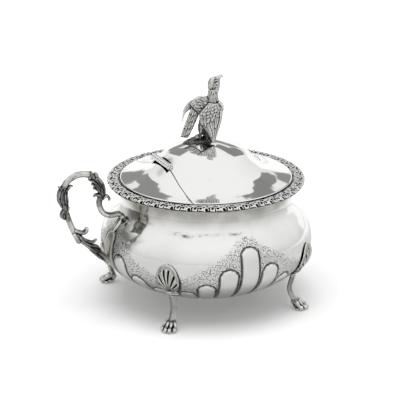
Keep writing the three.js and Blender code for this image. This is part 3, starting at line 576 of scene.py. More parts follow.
def bowl_piece():
    # rows close together up to just above the lobes, and further apart beyond
    above_lobes = 61
    fine = [(p.x, p.y) for p in FINE_OUTLINE]
    lower = [p for i, p in enumerate(fine) if p[1] < above_lobes and i % 4 == 0]
    upper = [p for i, p in enumerate(fine) if p[1] >= above_lobes and i % 14 == 0]
    inner = [(r - WALL, z) for r, z in reversed(fine[::26]) if z < BOWL_TOP_Z - 2]
    profile = [(0, BOTTOM_Z), (14, BOTTOM_Z)] + lower + upper
    profile += [(NECK_RADIUS, BOWL_TOP_Z - 0.05), (NECK_RADIUS + 0.4, BOWL_TOP_Z)]
    profile += [(FLANGE_RADIUS - 0.1, BOWL_TOP_Z), (FLANGE_RADIUS, BOWL_TOP_Z + 0.1)]
    profile += [(FLANGE_RADIUS, FLANGE_TOP_Z - 0.1), (FLANGE_RADIUS - 0.1, FLANGE_TOP_Z)]
    profile += [(NECK_RADIUS - WALL + 0.4, FLANGE_TOP_Z), (NECK_RADIUS - WALL, FLANGE_TOP_Z - 0.4)]
    profile += inner + [(0, BOTTOM_Z + WALL)]
    mesh = to_mesh(spun(profile, COLUMNS), "bowl")

    co = points_of(mesh)
    radius = np.hypot(co[:, 0], co[:, 1])
    turn = np.arctan2(co[:, 1], co[:, 0]) % WHOLE_TURN
    column = np.round(turn / WHOLE_TURN * COLUMNS).astype(int) % COLUMNS
    turn = column_turns()[column]
    z = co[:, 2]
    plain = bowl_radius(z)
    outside = (np.abs(radius - plain) < 0.3) & (z < above_lobes + 5) & (z > BOTTOM_Z - 0.1)
    along = np.interp(z, OUTLINE_Z, OUTLINE_S)

    # the lobes: lift is their relief, gap the distance outside the nearest one
    lift, satin = np.zeros(len(co)), np.zeros(len(co))
    gap = np.full(len(co), 99.0)
    half_turn = PITCH / 2 - GROOVE
    fade = onset(plain, FLAT_RADIUS + 3, FLAT_RADIUS + 10)
    for panel in range(PANELS):
        for lobe in range(PER_PANEL):
            centre = panel * WHOLE_TURN / PANELS + PANEL_MARGIN + (lobe + 0.5) * PITCH
            away = (turn - centre + math.pi) % WHOLE_TURN - math.pi
            top_z = LOBE_TOP_Z[abs(lobe - PER_PANEL // 2)]
            half = half_turn * plain
            arch = np.interp(top_z, OUTLINE_Z, OUTLINE_S) - half_turn * bowl_radius(top_z)
            q = np.hypot(away * plain, np.maximum(along - arch, 0)) / half
            inside = q < 1
            lift[inside] = (LOBE_RELIEF * np.sqrt(np.maximum(1 - q ** 3.2, 0)) * fade)[inside]
            satin = np.maximum(satin, onset(q, 1, 0.8))
            gap = np.minimum(gap, np.where(inside, -1.0, (q - 1) * half))
    edge = np.exp(-(np.maximum(np.abs(gap - 0.5) - 0.45, 0) / 0.35) ** 2)
    lift -= 0.3 * edge * fade

    # the painted shadow line round each palmette, the punched ground and bands of painted shade and
    # reflection
    leg = (turn + math.pi / 4) % (math.pi / 2) - math.pi / 4
    side, rise = leg * plain, along - np.interp(PALMETTE_BASE_Z, OUTLINE_Z, OUTLINE_S)
    beside = np.hypot(side, rise) - palmette_reach(np.arctan2(side, rise))
    # a painted shadow line just outside each palmette's edge
    palmette_shadow = np.exp(-(np.maximum(beside - 0.7, 0) / 0.8) ** 2) * (rise > -4)

    limit = np.interp(np.abs(np.abs(leg) - math.pi / 4), np.radians([0, 5, 12, 24, 36, 45]),
                      [64.5, 63, 57, 48, 41, 38])
    matted = onset(gap, 0.4, 0.9) * np.clip((limit - z) / 9, 0, 1)
    # painted shade and reflection: darker under the flange and towards the bottom, and a painted
    # reflection of the handle on the bowl beside it
    tarnish_and_shade = 0.8 * onset(z, 62, 79) + 0.36 * onset(z, 36, 12)
    off_handle = np.degrees((turn - HANDLE_TURN + math.pi) % WHOLE_TURN - math.pi)
    below_knob = onset(z, 68, 60) * onset(z, 18, 28)
    tarnish_and_shade += 0.85 * np.exp(-(off_handle / 9) ** 2) * below_knob
    tarnish_and_shade += 0.55 * np.exp(-((off_handle - 13) / 9) ** 2 - ((z - 68) / 9) ** 2)
    outer = radius > plain - 0.3
    radius += lift * outside
    co[:, 0], co[:, 1] = radius * np.cos(turn), radius * np.sin(turn)
    set_points(mesh, co)
    # the line mark holds the dark chased lines round the lobes and the painted shadow round each
    # palmette
    mark(mesh, "line", np.maximum(edge, palmette_shadow) * outside)
    mark(mesh, "matted", matted * outside)
    mark(mesh, "satin", satin * outside)
    mark(mesh, "tarnish_and_shade", tarnish_and_shade * outer)
    mark_wrap(mesh, turn, along)
    mesh.transform(Matrix.Rotation(FIRST_LEG, 4, "Z"))
    place_piece("bowl", mesh, CHASED, "dish", "body_shell", sharp=50)


# Border

def foliage_height(reach):
    """The domed top of the border's foliage, reach mm out from its middle."""
    return BORDER_TOP_Z + 0.1 - np.where(reach > 0, 0.09, 0.05) * reach ** 2


def border_unit(bm):
    """One repeat of the foliage: a wavy stem, six scrolls and leaf tips at both edges."""
    pitch = WHOLE_TURN / VINE_UNITS
    middle = (BORDER_OUTER + BORDER_INNER) / 2

    def spot(share, reach, lift=0.0):
        """share runs along the repeat from 0 to 1, reach out across the border, in mm."""
        turn = share * pitch
        radius = middle + reach
        height = float(foliage_height(reach)) + lift
        return Vector((radius * math.cos(turn), radius * math.sin(turn), height))

    def strip(points, widths, depths, steps):
        bar(bm, points, widths, depths, across=(0, 0, 1), steps=steps, sides=6)

    strip([spot(i / 16, 0.15 + 0.55 * math.sin(4 * math.pi * i / 16), -0.15)
           for i in range(-1, 18)], [0.55, 0.55], [0.36, 0.36], 24)
    for k in range(6):
        outer = k % 2
        share = (k + 0.5) / 6
        wave = math.cos(math.pi * k / 1.5)
        side = 2.35 + 0.35 * wave if outer else -1.7 - 0.3 * wave
        curl = []
        for i in range(10):
            turn = 2 + math.pi * k / 1.5 + math.radians(30) * i
            size = 1.62 - 0.07 * i
            along = size * math.cos(turn) / (pitch * middle)
            curl.append(spot(share + along, side + size * math.sin(turn), 0.05))
        strip(curl, [0.45, 0.6, 0.45], [0.3, 0.46, 0.3], 14)
        reach = 3.6 + 0.25 * wave if not outer else -3.05
        for aside in (-0.26, 0.26):
            leaf = [spot(share + aside * 0.3, reach * 0.4, -0.15),
                    spot(share + aside * 0.28, reach * 0.75, 0.1),
                    spot(share + aside * 0.16, reach + 0.25)]
            strip(leaf, [0.4, 0.55, 0.3], [0.25, 0.34, 0.28], 6)


def border_piece():
    low, top = BORDER_BASE_Z, BORDER_TOP_Z - 0.95
    section = [(BORDER_INNER + r, z) for r, z in (
        (0, low), (0, top + 0.1), (0.3, top + 0.3), (0.8, top + 0.1), (2.2, top + 0.15))]
    section += [(BORDER_OUTER - r, z) for r, z in (
        (2.4, top), (1.1, top - 0.45), (0.4, top - 0.75), (0.25, top - 1.0), (0.5, low))]
    section += section[:1]
    bm = spun(section, 240)
    unit = bmesh.new()
    border_unit(unit)
    bmesh.ops.spin(unit, geom=everything(unit), cent=(0, 0, 0), axis=(0, 0, 1),
                   angle=WHOLE_TURN - WHOLE_TURN / VINE_UNITS, steps=VINE_UNITS - 1,
                   use_duplicate=True)
    vine = to_mesh(unit, "vine")
    bm.from_mesh(vine)
    bpy.data.meshes.remove(vine)
    mesh = to_mesh(skin(bm, BORDER_GRID, 1), "rim_vine")
    mark_hollows(mesh, 0.3)
    co = points_of(mesh)
    reach = np.hypot(co[:, 0], co[:, 1]) - (BORDER_OUTER + BORDER_INNER) / 2
    sunk = foliage_height(reach) - co[:, 2]
    ground = (reach > -3.5) & (reach < 3.7)
    # darker where the ground sinks below the foliage: patina and painted shade
    mark(mesh, "patina_and_shade", 0.95 * onset(sunk, 0.22, 0.52) * ground)
    place_piece("rim_vine", mesh, LIGHT_CAST, "dish", "rim_border")


# Liner, lid and hinge

def liner_piece():
    mouth = 51.9
    wall = 2.0
    shoulder = spline([(33, 17), (41, 21), (mouth - 4, 31), (mouth, 47), (mouth, 80.4)], 24)
    outer = [(0, 17), (20, 17)] + [(p.x, p.y) for p in shoulder]
    flange = [(mouth + 0.3, 82.4), (56.5, 82.4), (56.8, 82.7), (56.8, 83.6), (56.5, 83.9),
              (mouth - wall + 0.9, 83.9), (mouth - wall + 0.3, 83.6)]
    inner = [(r - wall, z + wall * 0.4) for r, z in reversed(outer[3:])] + [(20, 19), (0, 19)]
    place_piece("liner_bowl", spun(outer + flange + inner, 160), GLASS,
                "liner", "glass_liner", sharp=60)


def lid_half(beyond):
    """The dome's skin on one side of the seam, with room left round the barrel."""
    rows = [(p.x, p.y) for p in lid_outline(60)]
    rows += [(LID_RADIUS + 0.12, LID_EDGE_Z + LID_WALL * 0.75)]
    bm = spun(rows, 240)
    outward = Vector((math.cos(FLAP_TURN), math.sin(FLAP_TURN), 0))
    sideways = Vector((-outward.y, outward.x, 0))
    room = BARREL_RADIUS + 0.1
    to_edge = 1 if beyond else -1
    cut(bm, outward * (FLAP_CHORD + to_edge * SEAM / 2), outward,
        clear_inner=beyond, clear_outer=not beyond)
    cut(bm, outward * (FLAP_CHORD + to_edge * room), outward)
    middle = sideways * -BARREL_OFFSET
    length = BARREL_LENGTH / 2 + 0.2
    for end in (length, -length):
        cut(bm, middle + sideways * end, sideways)
    notch = []
    for face in bm.faces:
        centre = face.calc_center_median()
        off = abs(centre.dot(outward) - FLAP_CHORD)
        if off < room and abs((centre - middle).dot(sideways)) < length:
            notch.append(face)
    bmesh.ops.delete(bm, geom=notch, context="FACES")
    bmesh.ops.recalc_face_normals(bm, faces=bm.faces)
    if sum(face.normal.z for face in bm.faces) < 0:
        bmesh.ops.reverse_faces(bm, faces=bm.faces)
    return bm


def sheet_metal(piece, thickness):
    """Gives an open skin its wall, towards the inside, with softened edges."""
    wall = piece.modifiers.new("wall", "SOLIDIFY")
    wall.thickness = thickness * MM
    wall.offset = -1
    soft = piece.modifiers.new("soft edges", "BEVEL")
    soft.width = 0.12 * MM
    soft.segments = 2
    soft.limit_method = "ANGLE"
    soft.angle_limit = math.radians(60)


def on_hinge(bm):
    """Turns a shape made along the Z axis onto the hinge."""
    rotate(bm, bm.verts, math.pi / 2, "X")
    bmesh.ops.translate(bm, verts=bm.verts, vec=(FLAP_CHORD, -BARREL_OFFSET, HINGE_Z))
    rotate(bm, bm.verts, FLAP_TURN)
    return bm


def knuckle(place):
    length = (BARREL_LENGTH - 2 * KNUCKLE_GAP) / 3
    low = place * (length + KNUCKLE_GAP) - length / 2
    high = low + length
    ease = 0.22
    section = [(BARREL_BORE, low), (BARREL_RADIUS - ease, low), (BARREL_RADIUS, low + ease),
               (BARREL_RADIUS, high - ease), (BARREL_RADIUS - ease, high), (BARREL_BORE, high),
               (BARREL_BORE, low)]
    return on_hinge(spun(section, 48))


def hinge_pieces():
    for name, place, body in (("back", 1, "lid"), ("flap", 0, "flap"), ("front", -1, "lid")):
        place_piece("barrel_" + name, knuckle(place), POLISHED, body,
                    "hinge_knuckle_" + name, sharp=35)
    half = BARREL_LENGTH / 2 - 0.6
    pin = [(0, -half), (0.75, -half), (0.92, -half + 0.17),
           (0.92, half - 0.17), (0.75, half), (0, half)]
    place_piece("pivot_pin", on_hinge(spun(pin, 32)), POLISHED, "lid", "hinge_pin",
                sharp=35)


def lid_pieces():
    for name, body, node in (("lid_dome", "lid", "lid_shell"), ("spoon_flap", "flap", "lid_flap")):
        skin_of_half = lid_half(beyond=body == "flap")
        sheet_metal(place_piece(name, skin_of_half, POLISHED, body, node,
                                sharp=50), LID_WALL)
    reach = math.acos((FLAP_CHORD - 1.6) / BEZEL_RADIUS)
    low = BEZEL_LOW_Z
    section = [(BEZEL_RADIUS - r, z) for r, z in (
        (0.9, low + 0.2), (0.7, low), (0.2, low), (0, low + 0.2), (0, 85.7), (0.9, 85.7),
        (0.9, low + 0.2))]
    arc = spun(section, 180, angle=WHOLE_TURN - 2 * reach, start=FLAP_TURN + reach)
    fill_holes(arc)
    bmesh.ops.recalc_face_normals(arc, faces=arc.faces)
    place_piece("lid_collar", arc, POLISHED, "lid", "lid_bezel", sharp=35)


# Legs

def on_bowl(side, z, lift):
    """A point lift above the bowl's surface on the +X side, side mm from its middle line."""
    radius = float(bowl_radius(z)) + 0.3 + lift
    turn = side / (radius - lift)
    return Vector((radius * math.cos(turn), radius * math.sin(turn), z))


def flute_phase(angle):
    """Place across a flute, from -0.5 to 0.5, at an angle from straight up."""
    share = np.sign(angle) * (np.abs(angle) / PALMETTE_SPREAD) ** 0.8
    return (share * FLUTES + FLUTES) / 2 % 1 - 0.5


def palmette(bm):
    """A fan of flutes from the root to the rounded top, with a ridge round its edge."""
    rows, columns = 44, 224
    bmesh.ops.create_grid(bm, x_segments=columns, y_segments=rows, size=1)
    for vert in bm.verts:
        angle = vert.co.x * PALMETTE_SPREAD
        t = (vert.co.y + 1) / 2
        reach = t * float(palmette_reach(angle))
        side = reach * math.sin(angle)
        open_part = float(onset(t, 0.14, 0.26) * onset(t, 0.88, 0.8))
        slot = open_part * float(onset(abs(flute_phase(angle)), 0.27, 0.42))
        edge = math.sqrt(max(1 - t ** 8, 0))
        round_off = math.sqrt(max(1 - 0.75 * (side / 8) ** 2, 0))
        swell = 0.6 + 1.45 * round_off * math.sin(math.pi * (0.24 + 0.5 * t))
        rib = 0.55 * (1 - slot) * open_part
        lift = 0.3 + swell * (0.25 + 0.75 * edge) + rib - 0.75 * slot
        vert.co = on_bowl(side, PALMETTE_BASE_Z + reach * math.cos(angle), max(lift, 0.25))
    bm.normal_update()
    bmesh.ops.solidify(bm, geom=bm.faces[:], thickness=1.2)


def leg_shape(knee, ankle):
    bm = bmesh.new()
    palmette(bm)
    base = Vector(on_bowl(0, PALMETTE_BASE_Z - 1.6, 0.9))
    for z, reach in ((PALMETTE_BASE_Z - 0.6, 4.4), (PALMETTE_BASE_Z - 2.6, 4.0)):
        ring = [on_bowl(reach * s, z - 0.5 * s * s, 1.2 + 1.1 * (1 - s * s))
                for s in (-1, -0.5, 0, 0.5, 1)]
        bar(bm, ring, [0.5, 0.95, 1.0, 0.95, 0.5], [0.9, 1.2, 1.3, 1.2, 0.9], across=(0, 0, 1))
    top = base.x + 0.2
    bar(bm, [(top + 0.4, 0, PALMETTE_BASE_Z + 1), (top - 1.4, 0, PALMETTE_BASE_Z - 3.6),
             (between(top, knee, 0.66), 0, KNEE_Z + 6), (knee, 0, KNEE_Z),
             (between(knee, ankle, 0.3), 0, KNEE_Z - 4.4), (ankle, 0, ANKLE_Z),
             (ankle + 2.2, 0, ANKLE_Z - 2)],
        [3.0, 2.7, 2.3, 2.3, 2.5, 2.9], [1.6, 1.8, 1.65, 1.65, 1.8, 2.0], steps=30, sides=16,
        keel=0.25)
    for i in range(4):
        share = i / 3 - 0.5
        side = share * 8.2
        reach = 9.4 * (0.98 - 1.0 * share * share)
        bar(bm, [(ankle - 0.6, side * 0.35, ANKLE_Z - 0.6), (ankle + 0.35 * reach, side * 0.8, 4.9),
                 (ankle + 0.62 * reach, side, 3.3), (ankle + 0.86 * reach, side, 2.2),
                 (ankle + reach, side * 1.04, 0.9)],
            [1.1, 1.32, 0.9, 1.36, 0.7], [1.2, 1.7, 1.1, 1.65, 0.7])
        egg(bm, (ankle + 0.5 * reach, side * 0.95, 1.0), (2.1, 1.1, 0.95), level=2)
    egg(bm, (ankle + 2.4, 0, 1.7), (3.4, 3.6, 1.6))
    egg(bm, (ankle - 0.8, 0, ANKLE_Z - 1.4), (1.9, 2.4, 2.6))
    cut(bm, (0, 0, 0.05), (0, 0, -1), clear_outer=True)
    fill_holes(bm)
    return skin(bm, CAST_GRID, 2)


def mark_flutes(mesh):
    """Darkness in the slots between the palmette's flutes, patina and painted shade, and painted
    shade down one side of the shank, on a leg at the +X side."""
    co = points_of(mesh)
    side = np.arctan2(co[:, 1], co[:, 0]) * bowl_radius(co[:, 2])
    rise = co[:, 2] - PALMETTE_BASE_Z
    angle = np.arctan2(side, rise)
    t = np.hypot(side, rise) / palmette_reach(angle)
    slot = onset(np.abs(flute_phase(angle)), 0.3, 0.4) * (rise > 0)
    slot *= onset(t, 0.25, 0.4) * onset(t, 0.87, 0.81)
    shank = (rise < -5) * (co[:, 2] > ANKLE_Z + 0.8)
    # painted shade down one side of the shank
    shank_side_shade = onset(side, 0.72, -0.72) * shank
    mark(mesh, "patina_and_shade", np.maximum(0.92 * slot, 0.25 * shank_side_shade))


def leg_pieces():
    common, left = (to_mesh(leg_shape(*shape), "leg") for shape in (COMMON_LEG, LEFT_LEG))
    for mesh in (common, left):
        mark_hollows(mesh, 0.4)
        mark_flutes(mesh)
    for name, source, turn in (("right", common, 0), ("back", common, 90),
                               ("left", left, 180), ("front", common, 270)):
        mesh = source.copy()
        mesh.transform(Matrix.Rotation(FIRST_LEG + math.radians(turn), 4, "Z"))
        place_piece(name + "_foot", mesh, GREY_CAST, "dish", "leg_" + name)


# Handle

def handle_piece():
    """Points are given as reach out from the bowl's axis and height above the table."""
    bm = bmesh.new()

    def ribs(points, count, pitch, wide, reach=(0.55, 1, 1, 0.35), steps=18):
        """Ribs of a leaf side by side in the handle's plane, closer together at both ends."""
        path = spline([(-out, 0, z) for out, z in points], steps)
        for k in range(count):
            offset = (k - (count - 1) / 2) * pitch
            line = []
            for i, spot in enumerate(path):
                along = (path[min(i + 1, steps)] - path[max(i - 1, 0)]).normalized()
                aside = Vector((-along.z, 0, along.x))
                line.append(spot + aside * offset * spread(reach, i / steps))
            inner = 1 - 0.12 * abs(k - (count - 1) / 2)
            bar(bm, line, [wide * inner * r for r in (0.75, 1, 0.95, 0.45)],
                [pitch * 0.66 * r for r in (0.8, 1, 1, 0.5)], steps=steps)

    def stroke(points, deep, wide, steps=16):
        bar(bm, [(-out, 0, z) for out, z in points], wide, deep, steps=steps, sides=12)

    def bud(out, z, radii, level=3):
        egg(bm, (-out, 0, z), radii, level=level)

    # the bar, from the knob on the shoulder over the top and down to the belly
    stroke([(57.4, 62), (60.2, 65.3), (62.6, 67.5), (66.1, 67.2), (69.6, 67.6),
            (72.9, 69.5), (75.1, 73.1), (75.8, 77), (75, 80.3), (74.2, 83.5),
            (75, 88.6), (77.5, 92.9), (80.4, 95.6), (83.4, 97.2), (87.3, 98),
            (91.1, 97.7), (95, 96.1), (98.1, 93.6), (100.1, 90), (101, 85.6),
            (100.5, 80.2), (98.8, 74.1), (96.8, 67.6), (94.6, 61.8), (91.9, 57.5),
            (88.1, 53.3), (83.8, 49.2), (79.4, 45.1), (75, 41.2), (71.9, 37.9),
            (69, 34.2)],
           [2, 1.9, 2, 2.3, 2.2, 2, 2, 2.1, 2.2],
           [2.4, 2.3, 2, 2.4, 2.4, 2.1, 2.1, 2.2, 2.4], steps=130)
    bud(60.3, 65.6, (2.3, 3, 2.3))
    bud(62.7, 67.2, (1.4, 2.5, 1.5), level=2)
    for side in (-1, 0, 1):
        bar(bm, [(-60.6, 0.8 * side, 64.4), (-62.3, 1.9 * side, 61.8), (-65.3, 2.3 * side, 58.6),
                 (-67.4, 1.1 * side, 55.2)], [0.8, 1.1, 1.1, 0.4], [0.9, 1.2, 1.1, 0.5])

    # leaves on the outer side, from the top down
    ribs([(100.3, 91.4), (102.2, 88.4), (102.9, 84.7), (102.5, 80.9), (101.2, 77.2)], 2, 1.5, 2.7)
    stroke([(101, 89.3), (102.5, 90.9), (104, 92.1)], [1.1, 0.9, 0.35], [2.4, 1.8, 0.6])
    ribs([(98.6, 89.4), (98.8, 85.3), (98.5, 81), (97.7, 77.4)], 2, 1.4, 2.6)
    stroke([(98.6, 88.2), (97.3, 90), (95.4, 91), (93.3, 91)], [1.3, 1.3, 1, 0.4],
           [2.6, 2.4, 1.8, 0.7])
    ribs([(97.6, 77.2), (100, 74.9), (101.4, 72.6), (100.9, 70.5), (99.6, 69)], 2, 1.3, 2.5)
    stroke([(97.1, 77.5), (98.1, 74.7), (99.1, 72.3), (99.5, 69.9)], [0.9, 1.2, 1, 0.4],
           [2.2, 2.6, 2, 0.8])

    # leaves at the lower end
    stroke([(93.3, 60.7), (89.7, 59), (87.1, 58.1), (85.2, 59.1), (84.8, 61.4)],
           [1.2, 1.4, 1.5, 1.6, 1.1], [2.6, 2.6, 2.4, 2.2, 1.6])
    stroke([(94, 58.8), (92, 55.8), (90.6, 53.3), (90.4, 51.2)], [1.4, 1.7, 1.9, 1.2],
           [2.4, 2.7, 2.4, 1.4])
    stroke([(91.8, 57.7), (88.1, 54.6), (84.3, 52), (80.4, 50.8), (77.9, 52.4)],
           [0.9, 1, 1, 0.95, 0.5], [2.4, 2.6, 2.5, 2.1, 1.2])
    stroke([(90.3, 55.8), (86, 51.2), (81.6, 48.6), (78, 47.6), (75.3, 44.6)],
           [0.8, 0.95, 0.95, 0.9, 0.6], [2.8, 3, 3, 2.6, 1.6])
    stroke([(89, 52.8), (83.8, 47.9), (79.4, 44.3), (74.2, 41.2)], [0.8, 0.95, 0.95, 0.7],
           [2.4, 2.8, 2.8, 2.2])
    stroke([(82.5, 45.4), (78.4, 41.6), (75.9, 39.2), (73.9, 37.3)], [0.6, 0.95, 0.95, 0.5],
           [1.8, 2.4, 2.4, 1.2])

    # knot of buds and leaves beside the rim
    bud(77.8, 96.1, (1.75, 2.6, 1.75))
    bud(81.1, 98.1, (1.1, 2.2, 1.1))
    for out, z in ((82.4, 95.4), (80, 95.3), (78.1, 94)):
        bud(out, z, (1.3, 2.9, 1.3), level=2)
    stroke([(77.3, 94.7), (74.4, 90.8), (72.7, 86.5), (71.9, 82)], [1.2, 1.5, 1.3, 0.6],
           [2.4, 2.8, 2.4, 1.4])
    ribs([(82.5, 93.5), (79.6, 91.8), (76.6, 88.3), (74, 83.7)], 1, 1.4, 2.9)
    ribs([(80.6, 90.3), (77.7, 88), (75, 83.9)], 1, 1.3, 2.7)
    ribs([(79.6, 87.3), (76.8, 85.7), (74.4, 82.4)], 1, 1.2, 2.4)
    stroke([(74.5, 78.9), (75.7, 81.9), (78.1, 82.6), (79.6, 81.4)], [1.2, 1.3, 1.1, 0.5],
           [2.2, 2.3, 1.9, 1])
    stroke([(73.9, 78.9), (72.3, 80.6), (70.2, 80.8), (68.7, 78.9), (69.2, 77.3)],
           [1.1, 1.1, 1.1, 0.9, 0.45], [2, 2.2, 2.1, 1.7, 0.9])
    mesh = to_mesh(skin(bm, CAST_GRID, 1), "scroll_handle")
    mark_hollows(mesh, 0.17, 8)
    out, _, z = points_of(mesh).T * [[-1], [1], [1]]
    leafy = np.maximum.reduce([
        onset(out, 71, 74) * onset(out, 94, 91) * onset(z, 61, 57),
        onset(out, 95, 97) * onset(z, 66, 69) * onset(z, 93, 90),
        onset(out, 84, 82) * onset(z, 72, 76)])
    # the clusters of leaves are made darker
    mark(mesh, "patina_and_shade", 0.44 * leafy)
    place_piece("scroll_handle", mesh, DARK_CAST, "dish", "handle")


# Eagle

EAGLE_TURN = math.radians(-24.3)
EAGLE_ORIGIN_Z = 104.27


def scatter(k):
    """A fixed uneven value from 0 to 1 for a number."""
    return math.sin(12.9898 * k + 4.1414) * 4375.85453 % 1


def plumage(p, q):
    """Height, from 0 to 1, of feathers that overlap unevenly: p counts them across and q
    along, with a rounded tip on each over the root of the next."""
    p += 0.2 * math.sin(2.1 * q + 1.3 * p)
    column = math.floor(p)
    off = 2 * abs(p - column - 0.5)
    q += scatter(column) + 0.25 * math.sin(3 * p)
    row = math.floor(q)
    along = (q - row) / (1 - 0.5 * off ** 2)
    if along > 1:
        return 0.1
    size = 0.7 + 0.3 * scatter(7 * column + 3 * row)
    return size * (0.3 + 0.7 * along) * (1 - off ** 3) - 0.25 * math.exp(-(off / 0.18) ** 2)


def plate(bm, left, right, relief, thick, bulge=0.0, along=60, across=26):
    """A closed plate between two edge curves, with relief(s, t) raised on both faces."""
    a, b = spline(left, along), spline(right, along)
    out = Vector((0, -1, 0))
    rings = []
    for i in range(along + 1):
        t = i / along
        front, back = [], []
        for k in range(across + 1):
            s = k / across
            round_off = math.sqrt(max(1 - (2 * s - 1) ** 6, 0))
            half = 0.15 + thick * round_off * math.sqrt(max(1 - (2 * t - 1) ** 12, 0))
            half += relief(s, t) * min(round_off * 1.3, 1)
            spot = a[i].lerp(b[i], s) + out * bulge * math.sin(math.pi * s)
            front.append(spot + out * half)
            back.append(spot - out * half)
        rings.append(front + back[::-1])
    loft(bm, rings)


def eagle_piece():
    """The bird stands on a rocky mound with its head raised, one wing folded in front
    and the other spread behind. u runs across, z up, w away from the front."""
    bm = bmesh.new()

    def e(u, z, w=0.0):
        return Vector((u, w, EAGLE_ORIGIN_Z + z))

    def edge(*points):
        return [e(*p) for p in points]

    def limb(points, in_plane, out_of_plane, steps=14, sides=12):
        bar(bm, edge(*points), out_of_plane, in_plane, steps=steps, sides=sides)

    # body and neck, covered with feathers
    body_z = [9, 12, 15, 18.5, 23, 27, 30.5, 34, 38.5, 40]
    body_u = [-2.9, -2.7, -1.8, 0.4, 2.4, 3.9, 4.6, 4.3, 4.6, 4.8]
    body_a = [1.4, 2.4, 3.4, 4.8, 5.4, 5.0, 3.9, 3.4, 3.2, 2.9]
    body_b = [1.8, 2.8, 3.9, 5.0, 5.3, 4.9, 3.9, 3.2, 2.9, 2.6]
    rings = []
    for i in range(91):
        z = between(body_z[0], body_z[-1], i / 90)
        u, a, b = (float(np.interp(z, body_z, values)) for values in (body_u, body_a, body_b))
        ring = []
        for k in range(56):
            turn = WHOLE_TURN * k / 56
            lift = 0.55 * plumage(13 * k / 56, (40 - z) / (2.6 if z < 29 else 8))
            ring.append(e(u + (a + lift) * math.cos(turn), z, (b + lift) * math.sin(turn)))
        rings.append(ring)
    loft(bm, rings)

    # head
    egg(bm, e(3.7, 43.6), (2.8, 3, 5), (0, math.radians(15), 0))
    egg(bm, e(5.4, 43), (2.8, 2.8, 4.7), (0, math.radians(10), 0))
    limb([(1.9, 40.6, 0), (2.4, 39.2, 0), (3.9, 38.7, 0)], [0.7, 0.7, 0.5], [2.2, 2.7, 3],
         steps=8)
    limb([(7.3, 47), (7.1, 43.9), (6.2, 38.6)], [1.6, 2.3, 2.3], [1.9, 2.6, 2.8])
    limb([(6.6, 46.4), (8.5, 48.1), (10, 48.9), (10.9, 47.9)], [2, 1.5, 1.1, 0.3],
         [2, 1.5, 1, 0.3])
    limb([(7.2, 45.3), (8.4, 46.4), (9.3, 46.9)], [1, 0.6, 0.3], [1.4, 1, 0.4], steps=8)
    for w in (-2.5, 2.5):
        egg(bm, e(7.1, 44.3, w), (0.8, 0.5, 0.8), level=2)
        limb([(5.4, 45.8, w), (6.9, 46.2, w * 1.03), (8.1, 45.4, w * 0.85)], [0.3, 0.4, 0.2],
             [0.4, 0.5, 0.3], steps=8, sides=6)
        limb([(5.6, 42.6, w), (6.6, 42.2, w * 1.04), (7.9, 43, w * 0.9)], [0.2, 0.35, 0.2],
             [0.3, 0.4, 0.3], steps=8, sides=6)

    # folded wing on the near side: leading band at its right, small feathers above,
    # long ones running down to the tip
    def folded(s, t):
        if s > 0.88:
            return 0.55
        small, long = plumage(7 * s, 9 * t), plumage(6 * s, 3.6 * t)
        share = onset(t, 0.42, 0.52)
        return 0.7 * float(small + (long - small) * share)

    plate(bm, edge((1.6, 31.5, -2.4), (-1.6, 28, -3.4), (-4.2, 24.6, -3.8), (-4.4, 21.2, -4),
                   (-3.5, 17.2, -4.4), (0.5, 11.3, -4.8), (4.2, 5.2, -5)),
          edge((8.6, 31.2, -2), (10.9, 28.6, -2.6), (11, 25, -3.4), (10.5, 21.4, -4),
               (9.4, 16.6, -4.4), (7.5, 10.6, -4.8), (5.5, 5.2, -5)),
          folded, 0.75, 1.9, along=84, across=40)
    limb([(8.2, 31.6, -1.6), (10.2, 29.6, -2.4), (10.9, 26.6, -3.2)], [1, 1.3, 0.8],
         [1.8, 2.2, 1.2], steps=10)

    # spread wing behind: arm with small feathers, four long feathers, smooth outer tip
    plate(bm, edge((3.2, 33.8, -0.6), (0.6, 35, -0.6), (-2.2, 35.6, -0.3), (-5.2, 35, 0),
                   (-8, 33.2, 0.3), (-10.4, 30.4, 0.5)),
          edge((3, 24, -0.4), (0.2, 22.4, -0.4), (-2.2, 21.8, -0.2), (-4.6, 22.6, 0),
               (-7, 24.6, 0.3), (-9.2, 27.6, 0.5)),
          lambda s, t: 0.65 * plumage(7 * s + 1.5 * t, 3.2 * t), 1.2, 1, along=70, across=50)
    plate(bm, edge((-8.6, 30.2, 0.2), (-10.6, 25, 0.1), (-12.6, 19.6, -0.1), (-14.9, 13.6, -0.3),
                   (-17, 7.4, -0.5)),
          edge((-3.6, 25.4, 0.1), (-5.4, 20.4, 0), (-7.5, 15.4, -0.2), (-9.6, 10.8, -0.4),
               (-11.6, 6.8, -0.6)),
          lambda s, t: 0.7 * plumage(4.5 * s, 4.6 * t), 0.55, 0.5, along=90, across=40)
    plate(bm, edge((-8.6, 32.6, 1.4), (-11.6, 30.4, 1.6), (-14.1, 27.2, 1.6), (-15.5, 23, 1.4),
                   (-15.6, 17.6, 1)),
          edge((-7.4, 28.6, 1.4), (-9, 26.6, 1.6), (-11.4, 24.8, 1.6), (-13.8, 22.2, 1.4),
               (-15.2, 17.4, 1)),
          lambda s, t: 0.25 * plumage(2 * s, 1.5 * t), 0.5, 0.4, along=40, across=20)

